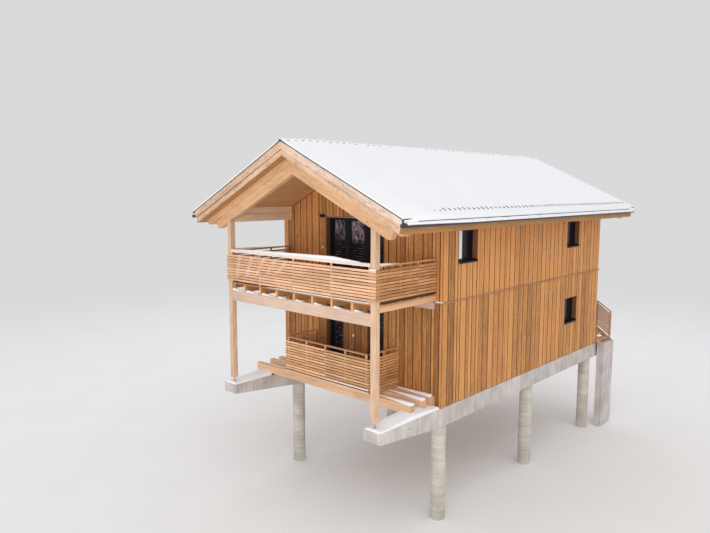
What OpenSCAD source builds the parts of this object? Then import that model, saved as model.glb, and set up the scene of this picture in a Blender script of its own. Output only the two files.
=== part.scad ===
/* [House] */
// Width over the board cladding of the side walls
house_w = 7000; // [6400:50:7600]
// Depth over the board cladding of the front and rear walls
house_l = 11300; // [10500:50:12500]
// Room that the board cladding takes in front of each timber wall
clad_t = 25; // [20:1:30]
// Thickness of a timber wall behind its cladding
wall_t = 300; // [250:10:350]
// Top of the lower floor above the concrete beams
lower_floor_z = 500; // [400:10:600]
// Top of the upper floor above the concrete beams
upper_floor_z = 3500; // [3300:10:3700]

/* [Roof] */
// Top of the verge boards at the ridge, above the concrete beams
ridge_z = 7890; // [7500:10:8200]
// Rise of the roof for each unit of width
roof_tan = 0.472; // [0.42:0.002:0.52]
// Half the width of the roof over its verge boards
roof_half_w = 4500; // [4300:10:4700]
// Reach of the roof in front of the front wall
front_reach = 3110; // [2900:10:3300]
// Reach of the roof behind the rear wall
rear_reach = 830; // [600:10:1100]
// Thickness of the metal roof covering
covering_t = 40; // [30:5:60]

/* [Supports] */
// Height of the concrete beams' top above the lowest ground
beam_z = 3650; // [3000:50:4500]
// Width of a concrete beam
beam_w = 600; // [500:10:700]
// Depth of a concrete beam over its columns
beam_d = 575; // [500:5:650]
// Depth of a concrete beam at its front tip
tip_d = 310; // [250:5:350]
// Reach of the concrete beams in front of the front wall
beam_reach = 2750; // [2700:10:2900]
// Diameter of a round column
column_d = 450; // [400:10:500]
// Side of a roof post
post_s = 180; // [160:5:200]

/* [Balconies] */
// Distance over the outer faces of the two roof posts
post_span = 6500; // [6400:10:6700]
// Distance of the posts' front face in front of the front wall
post_reach = 2680; // [2600:10:2750]
// Number of slats in the upper balcony rail
upper_slats = 10; // [8:1:12]
// Number of slats in the lower balcony rail
lower_slats = 11; // [9:1:13]
// Half the width of the lower balcony over its slats
lower_half_w = 1880; // [1700:10:2000]
// Depth of the lower balcony over its slats
lower_reach = 1410; // [1300:10:1500]

/* [Doors and windows] */
// Left side of the door openings, from the middle of the front
opening_left = -1330; // [-1400:10:-1250]
// Right side of the door openings, from the middle of the front
opening_right = 1250; // [1150:10:1400]
// Width of a lower balcony door opening on the left
left_door_w = 800; // [750:10:900]
// Width of a lower balcony door opening on the right
right_door_w = 680; // [650:10:900]
// Height of the balcony doors above their floor
door_h = 2110; // [2000:10:2250]
// Depth of the recess in front of every frame
recess_d = 175; // [120:5:200]
// Thickness of a frame
frame_t = 70; // [60:5:90]

/* [Hidden] */
$fn = 48;

// The origin is the middle of the whole outline on the lowest ground.
landing_d = 1200;
covering_lip = 15;
front_y = -(house_l + landing_d - front_reach - covering_lip) / 2;

// How far a cutting shape runs past the face that it cuts.
past = 50;
// The clearance left between timbers that only lie beside each other.
gap = 2;

half_w = house_w / 2;
core_half_w = half_w - clad_t;
inner_half_w = core_half_w - wall_t;
core_front = clad_t;
core_rear = house_l - clad_t;
inner_front = core_front + wall_t;
inner_rear = core_rear - wall_t;
beam_centre = half_w - beam_w / 2;
beam_rear = house_l + landing_d - 60;

// Layers of the roof, as depths below the top of the verge boards.
slab_drop = 400;
soffit_drop = 520;
verge_drop = 418;
upper_rafter_drop = 610;
porch_rafter_drop = 947;
// The front verge board is narrower than the one behind it.
verge_step_drop = 235;

slope = atan(roof_tan);
ridge_gap = 1;
slab_half_w = roof_half_w - 60;
soffit_half_w = 4200;
roof_front = -front_reach;
roof_rear = house_l + rear_reach;
verge_t = 60;

post_half = post_span / 2;
post_inner = post_half - post_s;
post_front = -post_reach;
post_back = post_front + post_s;

// The upper rafters lie over the posts, and as far inside the rear verge boards as inside the front ones.
rafter_proud = 60;
front_rafter = [post_front - rafter_proud, post_back];
rear_rafter_end = roof_rear - verge_t - (front_rafter[0] - roof_front - verge_t);
rear_rafter = [rear_rafter_end - post_s - rafter_proud, rear_rafter_end];

frame_front = recess_d;
frame_back = recess_d + frame_t;
glass_t = 24;
upper_head = upper_floor_z + door_h + 10;
lower_head = lower_floor_z + door_h;
left_door = [opening_left, opening_left + left_door_w];
right_door = [opening_right - right_door_w, opening_right];

window_w = 1050;
window_h = 970;
upper_sill = 4330;
lower_sill = 1330;
front_window_y = 790;
rear_window_y = 8200;
rear_window_x = [-1500, 900];
entrance_x = [1200, 2200];
entrance_z = [lower_floor_z, lower_floor_z + 2100];

// Heights of the balcony timbers above the concrete beams.
joist_low = 3200;
deck_low = 3430;
deck_top = 3470;
cross_low = 80;
cross_top = 340;
bearer_top = 460;

slat_h = 65;
slat_t = 24;
upright_t = 50;
handrail_t = 45;
// A rail's measures: the slats' lowest and highest edge, their number, and the handrail's top and thickness.
upper_rail = [3532, 4385, upper_slats, 4560, 95];
upper_side = [3532, 4385, upper_slats, 4500, handrail_t];
lower_rail = [510, 1475, lower_slats, 1625, handrail_t];
upper_rail_half_w = post_half + 35;
upper_rail_front = post_front - 32;

// Height of a roof layer above the concrete beams, at x from the ridge.
function layer_z(x, drop) = ridge_z - drop - roof_tan * abs(x);

// A point u down the slope from the ridge and v square to it, below the verge boards' top.
function slope_point(u, v) = [u * cos(slope) - v * sin(slope), ridge_z - u * sin(slope) - v * cos(slope)];

// A box given by its low and high x, y and z, from the front wall's middle and the beams' top.
module block(x, y, z) {
    translate([x[0], front_y + y[0], beam_z + z[0]])
        cube([x[1] - x[0], y[1] - y[0], z[1] - z[0]]);
}

// An outline of x and z pairs, drawn out from y[0] to y[1].
module across(outline, y) {
    translate([0, front_y + y[1], beam_z])
        rotate([90, 0, 0])
            linear_extrude(y[1] - y[0]) polygon(outline);
}

// An outline of y and z pairs, drawn out from x[0] to x[1].
module along(outline, x) {
    translate([x[0], front_y, beam_z])
        rotate([90, 0, 90])
            linear_extrude(x[1] - x[0]) polygon(outline);
}

// The children, and their mirror image on the left side.
module both_sides() {
    for (flip = [0, 1])
        mirror([flip, 0, 0]) children();
}

// The side edges of a layer of the roof between x[0] and x[1], from one depth down to another.
function layer_outline(x, top, bottom) = [
    [x[0], layer_z(x[0], top)],
    [x[1], layer_z(x[1], top)],
    [x[1], layer_z(x[1], bottom)],
    [x[0], layer_z(x[0], bottom)]
];

module concrete_beams() {
    outline = [
        [-beam_reach, 0],
        [-beam_reach, -tip_d],
        [-100, -beam_d],
        [beam_rear, -beam_d],
        [beam_rear, 0]
    ];
    color("silver")
        both_sides() along(outline, [half_w - beam_w, half_w]);
}

module columns() {
    column_y = [350, 5850, 10950];
    color("lightgray")
        both_sides()
            for (y = column_y)
                translate([beam_centre, front_y + y, 0])
                    cylinder(d = column_d, h = beam_z - beam_d);
}

// Three timbers across the concrete beams carry the lower balcony, and two carry the rear landing.
cross_w = 180;
cross_x = [-3680, 3300];
front_cross_y = [-1200, -610, -200];
rear_cross_y = [house_l + 120, house_l + 860];
landing_x = [500, 3150];

module cross_beams() {
    color("burlywood") {
        for (y = front_cross_y)
            block(cross_x, [y, y + cross_w], [cross_low, cross_top]);
        for (y = rear_cross_y)
            block([-3300, landing_x[1]], [y, y + cross_w], [0, cross_top]);
    }
}

// Packing pads between the concrete beams and the timbers of the lower balcony.
module beam_pads() {
    set_back = 20;
    color("dimgray")
        for (y = front_cross_y)
            for (x = [[-half_w, -half_w + beam_w], [half_w - beam_w, cross_x[1] - 60]])
                block(x, [y + set_back, y + cross_w - set_back], [0, cross_low]);
}

module floors() {
    upper_floor_t = 400;
    color("tan")
        for (z = [[0, lower_floor_z], [upper_floor_z - upper_floor_t, upper_floor_z]])
            block([-inner_half_w, inner_half_w], [inner_front, inner_rear], z);
}

module side_wall() {
    upper_window = [upper_sill, upper_sill + window_h];
    lower_window = [lower_sill, lower_sill + window_h];
    cut_x = [inner_half_w - past, half_w + past];
    color("peru")
        difference() {
            across([
                [inner_half_w, 0],
                [core_half_w, 0],
                [core_half_w, layer_z(core_half_w, soffit_drop)],
                [inner_half_w, layer_z(inner_half_w, soffit_drop)]
            ], [core_front, core_rear]);
            block(cut_x, [front_window_y, front_window_y + window_w], upper_window);
            block(cut_x, [rear_window_y, rear_window_y + window_w], upper_window);
            block(cut_x, [rear_window_y, rear_window_y + window_w], lower_window);
        }
}

module left_wall() {
    mirror([1, 0, 0]) side_wall();
}

module right_wall() {
    side_wall();
}

// Where a wall between the side walls meets the soffit.
function gable_point(x) = [x, layer_z(x, soffit_drop)];

module rear_wall() {
    cut_y = [inner_rear - past, house_l + past];
    color("peru")
        difference() {
            across([
                [-inner_half_w, 0],
                [inner_half_w, 0],
                gable_point(inner_half_w),
                gable_point(0),
                gable_point(-inner_half_w)
            ], [inner_rear, core_rear]);
            for (x = rear_window_x)
                block([x, x + window_w], cut_y, [upper_sill, upper_sill + window_h]);
            block(entrance_x, cut_y, entrance_z);
        }
}

// The front wall is a row of panels round its door openings.
module front_panel(outline) {
    color("peru") across(outline, [core_front, inner_front]);
}

module front_wall_left() {
    front_panel([
        [-inner_half_w, 0],
        [opening_left, 0],
        gable_point(opening_left),
        gable_point(-inner_half_w)
    ]);
}

module front_wall_right() {
    front_panel([
        [opening_right, 0],
        [inner_half_w, 0],
        gable_point(inner_half_w),
        gable_point(opening_right)
    ]);
}

// A rectangular panel of the front wall.
module front_block(x, z) {
    color("peru") block(x, [core_front, inner_front], z);
}

module front_wall_base() {
    front_block([opening_left, opening_right], [0, lower_floor_z]);
}

module front_wall_pier() {
    front_block([left_door[1], right_door[0]], [lower_floor_z, lower_head]);
}

module front_wall_band() {
    front_block([opening_left, opening_right], [lower_head, upper_floor_z]);
}

module front_gable() {
    front_panel([
        [opening_left, upper_head],
        [opening_right, upper_head],
        gable_point(opening_right),
        gable_point(0),
        gable_point(opening_left)
    ]);
}

// A door frame leaves this border round its opening, over a low threshold.
frame_border = 50;
threshold = 30;

module lower_door_frames() {
    color("dimgray")
        for (x = [left_door, right_door])
            difference() {
                block(x, [frame_front, frame_back], [lower_floor_z, lower_head]);
                block([x[0] + frame_border, x[1] - frame_border], [frame_front - past, frame_back + past],
                    [lower_floor_z + threshold, lower_head - frame_border]);
            }
}

// A door leaf has an even gap inside its frame, and stiles of one width round its pane.
leaf_gap = 8;
stile_w = 85;
leaf_y = [frame_front + 5, frame_back];
leaf_z = [lower_floor_z + threshold + leaf_gap, lower_head - frame_border - leaf_gap];
pane_z = [leaf_z[0] + stile_w, leaf_z[1] - stile_w];
function leaf_x(x) = [x[0] + frame_border + leaf_gap, x[1] - frame_border - leaf_gap];
function pane_x(x) = [leaf_x(x)[0] + stile_w, leaf_x(x)[1] - stile_w];

module door_leaf(x) {
    color("darkslategray")
        difference() {
            block(leaf_x(x), leaf_y, leaf_z);
            block(pane_x(x), [leaf_y[0] - past, leaf_y[1] + past], pane_z);
        }
}

module door_pane(x) {
    middle = (leaf_y[0] + leaf_y[1]) / 2;
    color("lightsteelblue")
        block(pane_x(x), [middle - glass_t / 2, middle + glass_t / 2], pane_z);
}

module left_door() {
    door_leaf(left_door);
}

module left_door_glass() {
    door_pane(left_door);
}

module right_door() {
    door_leaf(right_door);
}

module right_door_glass() {
    door_pane(right_door);
}

// The upper balcony door is one wide unit of equal lights.
upper_lights = 3;
upper_border = 130;
light_w = (opening_right - opening_left) / upper_lights;

module upper_light_row(y) {
    for (i = [0:upper_lights - 1]) {
        x = opening_left + i * light_w;
        block([x + upper_border, x + light_w - upper_border], y,
            [upper_floor_z + upper_border, upper_head - upper_border]);
    }
}

module upper_door_frame() {
    color("dimgray")
        difference() {
            block([opening_left, opening_right], [frame_front, frame_back], [upper_floor_z, upper_head]);
            upper_light_row([frame_front - past, frame_back + past]);
        }
}

module upper_door_glass() {
    middle = (frame_front + frame_back) / 2;
    color("lightsteelblue")
        upper_light_row([middle - glass_t / 2, middle + glass_t / 2]);
}

// A window unit lies along x and z, and is turned to face the side or the rear.
window_border = 90;

module window_light(y) {
    translate([window_border, y[0], window_border])
        cube([window_w - 2 * window_border, y[1] - y[0], window_h - 2 * window_border]);
}

module window_ring() {
    difference() {
        cube([window_w, frame_t, window_h]);
        window_light([-past, frame_t + past]);
    }
}

module at_windows() {
    spots = [[front_window_y, upper_sill], [rear_window_y, upper_sill], [rear_window_y, lower_sill]];
    both_sides()
        for (spot = spots)
            translate([half_w - recess_d, front_y + spot[0], beam_z + spot[1]])
                rotate([0, 0, 90]) children();
    for (x = rear_window_x)
        translate([x + window_w, front_y + house_l - recess_d, beam_z + upper_sill])
            rotate([0, 0, 180]) children();
}

module window_frames() {
    color("dimgray") at_windows() window_ring();
}

module window_glass() {
    middle = frame_t / 2;
    color("lightsteelblue")
        at_windows() window_light([middle - glass_t / 2, middle + glass_t / 2]);
}

module entrance_door() {
    outer = house_l - recess_d;
    color("saddlebrown") block(entrance_x, [outer - frame_t, outer], entrance_z);
}

// One side of the roof: the thick deck, and the soffit boarding below it between the upper rafters.
module roof_side() {
    color("burlywood") {
        across(layer_outline([ridge_gap, slab_half_w], 0, slab_drop),
            [roof_front + verge_t, roof_rear - verge_t]);
        across(layer_outline([ridge_gap, soffit_half_w], slab_drop, soffit_drop),
            [front_rafter[1] + gap, rear_rafter[0] - gap]);
    }
}

module left_roof() {
    mirror([1, 0, 0]) roof_side();
}

module right_roof() {
    roof_side();
}

// The metal sheets of both slopes, and the cap that folds over them at the ridge.
module roof_covering() {
    cap_reach = 150;
    cap_gap = 1;
    cap_edge_t = 15;
    cap_ridge_t = 25;
    y = [roof_front - covering_lip, roof_rear + covering_lip];
    color("darkslategray")
        both_sides() {
            across(layer_outline([ridge_gap, roof_half_w + 25], -covering_t, 0), y);
            across([
                [ridge_gap, layer_z(ridge_gap, -covering_t - cap_gap)],
                [cap_reach, layer_z(cap_reach, -covering_t - cap_gap)],
                [cap_reach, layer_z(cap_reach, -covering_t - cap_edge_t)],
                [ridge_gap, layer_z(ridge_gap, -covering_t - cap_ridge_t)]
            ], y);
        }
}

// A board or rafter that follows the right slope, with its tail cut square and its lower corner rounded.
module rafter(top, bottom, tail, corner_r, y) {
    v = bottom * cos(slope);
    corner = [for (a = [0:15:90]) slope_point(tail - corner_r * (1 - cos(a)), v - corner_r * (1 - sin(a)))];
    across(concat(
        [[ridge_gap, layer_z(ridge_gap, top)], slope_point(tail, top * cos(slope))],
        corner_r > 0 ? corner : [slope_point(tail, v)],
        [[ridge_gap, layer_z(ridge_gap, bottom)]]
    ), y);
}

verge_tail = roof_half_w / cos(slope);

// Two boards on each verge, the outer one narrower, so that a step shows along their faces.
module verge_boards() {
    half_t = verge_t / 2;
    color("burlywood")
        both_sides() {
            rafter(0, verge_step_drop, verge_tail, 0, [roof_front, roof_front + half_t - 0.5]);
            rafter(0, verge_drop, verge_tail, 0, [roof_front + half_t, roof_front + verge_t]);
            rafter(0, verge_step_drop, verge_tail, 0, [roof_rear - half_t + 0.5, roof_rear]);
            rafter(0, verge_drop, verge_tail, 0, [roof_rear - verge_t, roof_rear - half_t]);
        }
}

// The upper rafters at the front and the rear, whose rounded tails reach almost to the eaves.
module verge_rafters() {
    tail = 4910;
    corner_r = 100;
    color("burlywood")
        both_sides()
            for (y = [front_rafter, rear_rafter])
                rafter(slab_drop + gap, upper_rafter_drop, tail, corner_r, y);
}

// The deep rafters on the posts, which end short of the rafters above them.
module porch_rafters() {
    tail = 4545;
    corner_r = 110;
    color("burlywood")
        both_sides()
            rafter(upper_rafter_drop + gap, porch_rafter_drop, tail, corner_r, [post_front, post_back]);
}

// The side timbers from the posts' rafters back to the front wall: a beam, and the packing above it.
module eaves_beams() {
    low = 5440;
    joint = 5680;
    set_back = 10;
    y = [post_back, core_front];
    color("burlywood")
        both_sides() {
            block([post_inner, post_half], y, [low, joint]);
            across([
                [post_inner + set_back, joint],
                [post_half - set_back, joint],
                [post_half - set_back, layer_z(post_half - set_back, soffit_drop)],
                [post_inner + set_back, layer_z(post_inner + set_back, soffit_drop)]
            ], y);
        }
}

module gutters() {
    x = [slab_half_w + 1, roof_half_w + 80];
    z = [5570, 5660];
    sheet = 10;
    y = [roof_front + verge_t + gap, roof_rear - verge_t - gap];
    color("darkslategray")
        both_sides()
            difference() {
                block(x, y, z);
                block([x[0] + sheet, x[1] - sheet], [y[0] - past, y[1] + past], [z[0] + sheet, z[1] + past]);
            }
}

// A roof post stands on a steel pin with a foot plate.
module posts() {
    pin_h = 200;
    pin_d = 40;
    plate_d = 130;
    plate_t = 12;
    both_sides() {
        color("burlywood")
            across([
                [post_inner, pin_h],
                [post_half, pin_h],
                [post_half, layer_z(post_half, porch_rafter_drop + gap)],
                [post_inner, layer_z(post_inner, porch_rafter_drop + gap)]
            ], [post_front, post_back]);
        color("gray")
            translate([post_half - post_s / 2, front_y + post_front + post_s / 2, beam_z]) {
                cylinder(d = pin_d, h = pin_h);
                cylinder(d = plate_d, h = plate_t);
            }
    }
}

// The edge beam between the posts, and the ledger on the front wall.
module balcony_beams() {
    edge_low = 2855;
    ledger_low = 2995;
    ledger_front = -90;
    color("burlywood") {
        block([-post_inner, post_inner], [post_front + 20, post_front + 140], [edge_low, joist_low]);
        block([-post_half, post_half], [ledger_front, core_front], [ledger_low, joist_low]);
    }
}

// Joists of the upper balcony, the side timbers that close them, and the bearers of the lower balcony.
module balcony_joists() {
    joist_w = 80;
    joist_step = 797;
    side_t = 60;
    bearer_x = [-lower_half_w - 20, -600, 560, lower_half_w - 80];
    color("burlywood") {
        for (i = [-3:3])
            block([i * joist_step - joist_w / 2, i * joist_step + joist_w / 2],
                [post_front + 10, core_front], [joist_low, deck_low]);
        both_sides()
            block([post_half - side_t, post_half], [post_back, core_front], [joist_low + 30, deck_low]);
        for (x = bearer_x)
            block([x, x + joist_w], [front_cross_y[0], -20], [cross_top, bearer_top]);
    }
}

module upper_balcony_deck() {
    color("burlywood") {
        block([-post_inner + gap, post_inner - gap], [post_front + 10, post_back + gap],
            [deck_low, deck_top]);
        block([-post_half + 62, post_half - 62], [post_back + gap, core_front], [deck_low, deck_top]);
    }
}

module lower_balcony_deck() {
    color("burlywood")
        block([-lower_half_w - 60, lower_half_w + 10], [-lower_reach, -20], [bearer_top, lower_floor_z]);
}

// The distance from one slat of a rail to the next.
function slat_pitch(heights) = (heights[1] - heights[0] - slat_h) / (heights[2] - 1);

// A rail along x with its slats at the front: heights, foot, the uprights' places and the handrail's reach.
module rail_panel(length, heights, foot, spots, reach) {
    low = heights[0];
    count = heights[2];
    top = heights[3];
    cap = heights[4];
    for (i = [0:count - 1])
        translate([0, 0, low + i * slat_pitch(heights)]) cube([length, slat_t, slat_h]);
    for (x = spots)
        translate([x - upright_t / 2, slat_t, foot]) cube([upright_t, upright_t, top - foot]);
    translate([reach[0], slat_t - 10, top - cap]) cube([reach[1] - reach[0], upright_t + 30, cap]);
}

module upper_front_rail() {
    half = upper_rail_half_w;
    upright_x = [-3030, -1594, 0, 1594, 3030];
    color("burlywood")
        translate([-half, front_y + upper_rail_front, beam_z])
            rail_panel(2 * half, upper_rail, deck_top, [for (x = upright_x) half + x],
                [half - post_inner + gap, half + post_inner - gap]);
}

module upper_side_rails() {
    length = -upper_rail_front - slat_t - 4;
    upright_y = [-2430, -1640, -850, -60];
    color("burlywood")
        both_sides()
            translate([upper_rail_half_w, front_y - length, beam_z])
                rotate([0, 0, 90])
                    rail_panel(length, upper_side, deck_low, [for (y = upright_y) length + y],
                        [length + post_back + gap, length - gap]);
}

module lower_front_rail() {
    upright_x = [-1750, -875, 0, 875, 1750];
    color("burlywood")
        translate([-lower_half_w, front_y - lower_reach, beam_z])
            rail_panel(2 * lower_half_w, lower_rail, lower_floor_z,
                [for (x = upright_x) lower_half_w + x], [100, 2 * lower_half_w - 100]);
}

module lower_side_rails() {
    length = lower_reach - slat_t - 4;
    upright_y = [-1250, -660, -60];
    color("burlywood")
        both_sides()
            translate([lower_half_w, front_y - length, beam_z])
                rotate([0, 0, 90])
                    rail_panel(length, lower_rail, lower_floor_z, [for (y = upright_y) length + y],
                        [100, length - gap]);
}

// The entrance side: a landing on the rear cross timbers, with steps down to the right.
landing_out = house_l + landing_d;
landing_top = lower_floor_z - 20;
step_y = [house_l + 80, landing_out - 80];
step_count = 2;
step_rise = 165;
step_run = 270;
stair_end = landing_x[1] + step_count * step_run;

module rear_landing() {
    color("burlywood")
        block(landing_x, [core_rear, landing_out - 80], [cross_top, landing_top]);
}

module rear_steps() {
    board = 50;
    string_d = 220;
    string_foot = 260;
    start = landing_x[1] + gap;
    color("burlywood") {
        for (i = [1:step_count])
            block([start + (i - 1) * step_run, landing_x[1] + i * step_run], step_y,
                [landing_top - i * step_rise - board, landing_top - i * step_rise]);
        for (y = [step_y[0], step_y[1] - board])
            across([
                [start, landing_top - gap],
                [stair_end + 120, 0],
                [stair_end + 120 - string_foot, 0],
                [start, landing_top - string_d]
            ], [y, y + board]);
    }
}

module stair_pier() {
    color("lightgray")
        block([half_w + 60, stair_end + 160], step_y, [-beam_z, 0]);
}

// The landing's rail, whose slats and handrail turn down beside the steps.
module rear_rail() {
    length = landing_x[1] - landing_x[0];
    fall = step_count * step_rise + 60;
    face = landing_out - slat_t;
    top = lower_rail[3];
    foot = 100;
    run = [landing_x[1], stair_end];
    color("burlywood") {
        translate([landing_x[1], front_y + landing_out, beam_z])
            rotate([0, 0, 180])
                rail_panel(length, lower_rail, landing_top, [65, 907, 1750, 2585], [40, length - 40]);
        for (i = [0:lower_slats - 1]) {
            z = lower_rail[0] + i * slat_pitch(lower_rail);
            across([[run[0], z], [run[1], z - fall], [run[1], z - fall + slat_h], [run[0], z + slat_h]],
                [face, landing_out]);
        }
        block([run[1] - upright_t, run[1]], [face - upright_t, face], [foot, top - fall]);
        across([
            [run[0] - 40, top - handrail_t],
            [run[1], top - handrail_t - fall],
            [run[1], top - fall],
            [run[0] - 40, top]
        ], [face - upright_t - 20, face + 10]);
    }
}

concrete_beams();
columns();
cross_beams();
beam_pads();
floors();
left_wall();
right_wall();
rear_wall();
front_wall_left();
front_wall_right();
front_wall_base();
front_wall_pier();
front_wall_band();
front_gable();
lower_door_frames();
left_door();
left_door_glass();
right_door();
right_door_glass();
upper_door_frame();
upper_door_glass();
window_frames();
window_glass();
entrance_door();
left_roof();
right_roof();
roof_covering();
verge_boards();
verge_rafters();
porch_rafters();
eaves_beams();
gutters();
posts();
balcony_beams();
balcony_joists();
upper_balcony_deck();
upper_front_rail();
upper_side_rails();
lower_balcony_deck();
lower_front_rail();
lower_side_rails();
rear_landing();
rear_steps();
stair_pier();
rear_rail();
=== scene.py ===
"""An alpine chalet in winter: boards, trims, rails, fittings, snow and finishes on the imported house."""

import logging
import math
import random
from collections.abc import Callable, Iterable, Iterator, Sequence
from dataclasses import dataclass, field
from enum import Enum
from functools import cached_property, partialmethod

import bmesh
import bpy
from mathutils import Matrix, Vector, noise


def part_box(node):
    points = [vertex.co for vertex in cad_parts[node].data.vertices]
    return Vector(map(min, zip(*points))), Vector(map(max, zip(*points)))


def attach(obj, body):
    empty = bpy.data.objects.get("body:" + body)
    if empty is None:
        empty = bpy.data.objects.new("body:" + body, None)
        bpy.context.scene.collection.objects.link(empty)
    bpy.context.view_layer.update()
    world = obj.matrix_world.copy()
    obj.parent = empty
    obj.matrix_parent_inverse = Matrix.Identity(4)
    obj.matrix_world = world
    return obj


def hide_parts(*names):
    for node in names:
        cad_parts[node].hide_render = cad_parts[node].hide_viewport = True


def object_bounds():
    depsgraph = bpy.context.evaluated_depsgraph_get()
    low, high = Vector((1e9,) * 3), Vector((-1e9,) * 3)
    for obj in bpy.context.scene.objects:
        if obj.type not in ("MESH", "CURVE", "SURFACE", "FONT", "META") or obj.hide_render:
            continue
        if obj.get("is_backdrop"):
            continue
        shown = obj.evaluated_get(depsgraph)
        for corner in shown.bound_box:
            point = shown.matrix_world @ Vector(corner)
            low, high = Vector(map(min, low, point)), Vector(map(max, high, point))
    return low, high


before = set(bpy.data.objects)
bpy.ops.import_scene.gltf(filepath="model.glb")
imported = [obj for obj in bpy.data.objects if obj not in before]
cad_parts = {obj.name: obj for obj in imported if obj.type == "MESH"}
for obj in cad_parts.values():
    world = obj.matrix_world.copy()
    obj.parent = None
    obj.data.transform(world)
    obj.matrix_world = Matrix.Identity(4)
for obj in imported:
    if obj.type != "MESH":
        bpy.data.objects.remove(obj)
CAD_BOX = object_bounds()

LOG = logging.getLogger("chalet")
TONE = "tone"
HOUSE = "house"
SIDES = (-1, 1)

Colour = tuple[float, float, float]
Point = tuple[float, float, float]
Span = tuple[float, float]
Height = Callable[[float, float], float]


@dataclass(frozen=True)
class Plan:
    """The house's main measures in metres.

    x counts from the ridge, y from the front boards' face, and z from the concrete beams' top.
    """

    cladding: float = 0.025
    roof_tan: float = 0.472
    soffit_drop: float = 0.52
    wall_foot: float = 0.012
    door_recess: float = 0.175

    @cached_property
    def front(self) -> float:
        """Where the front boards' face is in the frame."""
        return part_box("front_wall_base")[0].y - self.cladding

    @cached_property
    def datum(self) -> float:
        """Where the concrete beams' top is in the frame."""
        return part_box("concrete_beams")[1].z

    @cached_property
    def half_width(self) -> float:
        """Half the width over the side boards."""
        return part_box("right_wall")[1].x + self.cladding

    @cached_property
    def length(self) -> float:
        """Depth of the house over its front and rear boards."""
        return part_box("rear_wall")[1].y + self.cladding - self.front

    @cached_property
    def ridge(self) -> float:
        """Top of the verge boards at the ridge."""
        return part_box("verge_boards")[1].z - self.datum

    @cached_property
    def roof_span(self) -> Span:
        """The verge boards' front and rear faces."""
        low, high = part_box("verge_boards")
        return low.y - self.front, high.y - self.front

    @cached_property
    def cos(self) -> float:
        """Cosine of the roof's slope."""
        return math.cos(math.atan(self.roof_tan))

    @cached_property
    def sin(self) -> float:
        """Sine of the roof's slope."""
        return math.sin(math.atan(self.roof_tan))

    def roof_z(self, x: float, drop: float) -> float:
        """Height of a roof layer at x, as a depth below the verge boards' top."""
        return self.ridge - drop - self.roof_tan * abs(x)


PLAN = Plan()
ORIGIN = Vector((0.0, PLAN.front, PLAN.datum))
HALF = PLAN.half_width
LENGTH = PLAN.length


# Finishes


@dataclass(frozen=True)
class Value:
    """One output of a node. Arithmetic with it adds the nodes that work out the result."""

    recipe: "Recipe"
    socket: bpy.types.NodeSocket

    def maths(self, operation: str, *others: object) -> "Value":
        """Work out a number from this one and others."""
        return self.recipe.value("Math", dict(enumerate((self, *others))), operation=operation)

    __add__ = partialmethod(maths, "ADD")
    __sub__ = partialmethod(maths, "SUBTRACT")
    __mul__ = partialmethod(maths, "MULTIPLY")
    __abs__ = partialmethod(maths, "ABSOLUTE")
    most = partialmethod(maths, "MAXIMUM")
    fold = partialmethod(maths, "PINGPONG")

    def rest(self) -> "Value":
        """What this lacks to 1."""
        return self.recipe.value("Math", {0: 1.0, 1: self}, operation="SUBTRACT")

    def parts(self) -> list["Value"]:
        """The three parts of a vector."""
        return [Value(self.recipe, socket) for socket in self.recipe.node("SeparateXYZ", {0: self}).outputs]

    def stretch(self, scale: Sequence[float]) -> "Value":
        """A vector or colour with each part scaled."""
        return self.recipe.value("VectorMath", {0: self, 1: scale}, operation="MULTIPLY")

    def noise(self, scale: float | Sequence[float], detail: float = 2.0) -> "Value":
        """A cloudy pattern from 0 to 1.

        Args:
            scale: How dense the clouds are, in all directions or along each axis.
            detail: How many finer layers they have.

        Returns:
            The pattern at this point.
        """
        if not isinstance(scale, float):
            return self.stretch(scale).noise(1.0, detail)
        return self.recipe.value("TexNoise", {"Vector": self, "Scale": scale, "Detail": detail})

    def cells(self, scale: float) -> "Value":
        """The distance to the nearest of many scattered points, in units of the scale."""
        return self.recipe.value("TexVoronoi", {"Vector": self, "Scale": scale}, "Distance")

    def step(self, low: float, high: float) -> "Value":
        """A soft step from 0 at low to 1 at high."""
        inputs = {"Value": self, "From Min": low, "From Max": high}
        return self.recipe.value("MapRange", inputs, interpolation_type="SMOOTHSTEP")

    def scaled(self, low: float, high: float) -> "Value":
        """This, brought from the range 0 to 1 into another one."""
        return self.recipe.value("MapRange", {"Value": self, "To Min": low, "To Max": high})

    def blend(self, first: object, second: object) -> "Value":
        """Two colours, mixed by this factor."""
        return self.recipe.value("Mix", {0: self, 6: first, 7: second}, 2, data_type="RGBA")

    def bump(self, distance: float, strength: float) -> "Value":
        """A normal from this height, in units of the distance."""
        return self.recipe.value("Bump", {"Height": self, "Distance": distance, "Strength": strength})


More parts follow.
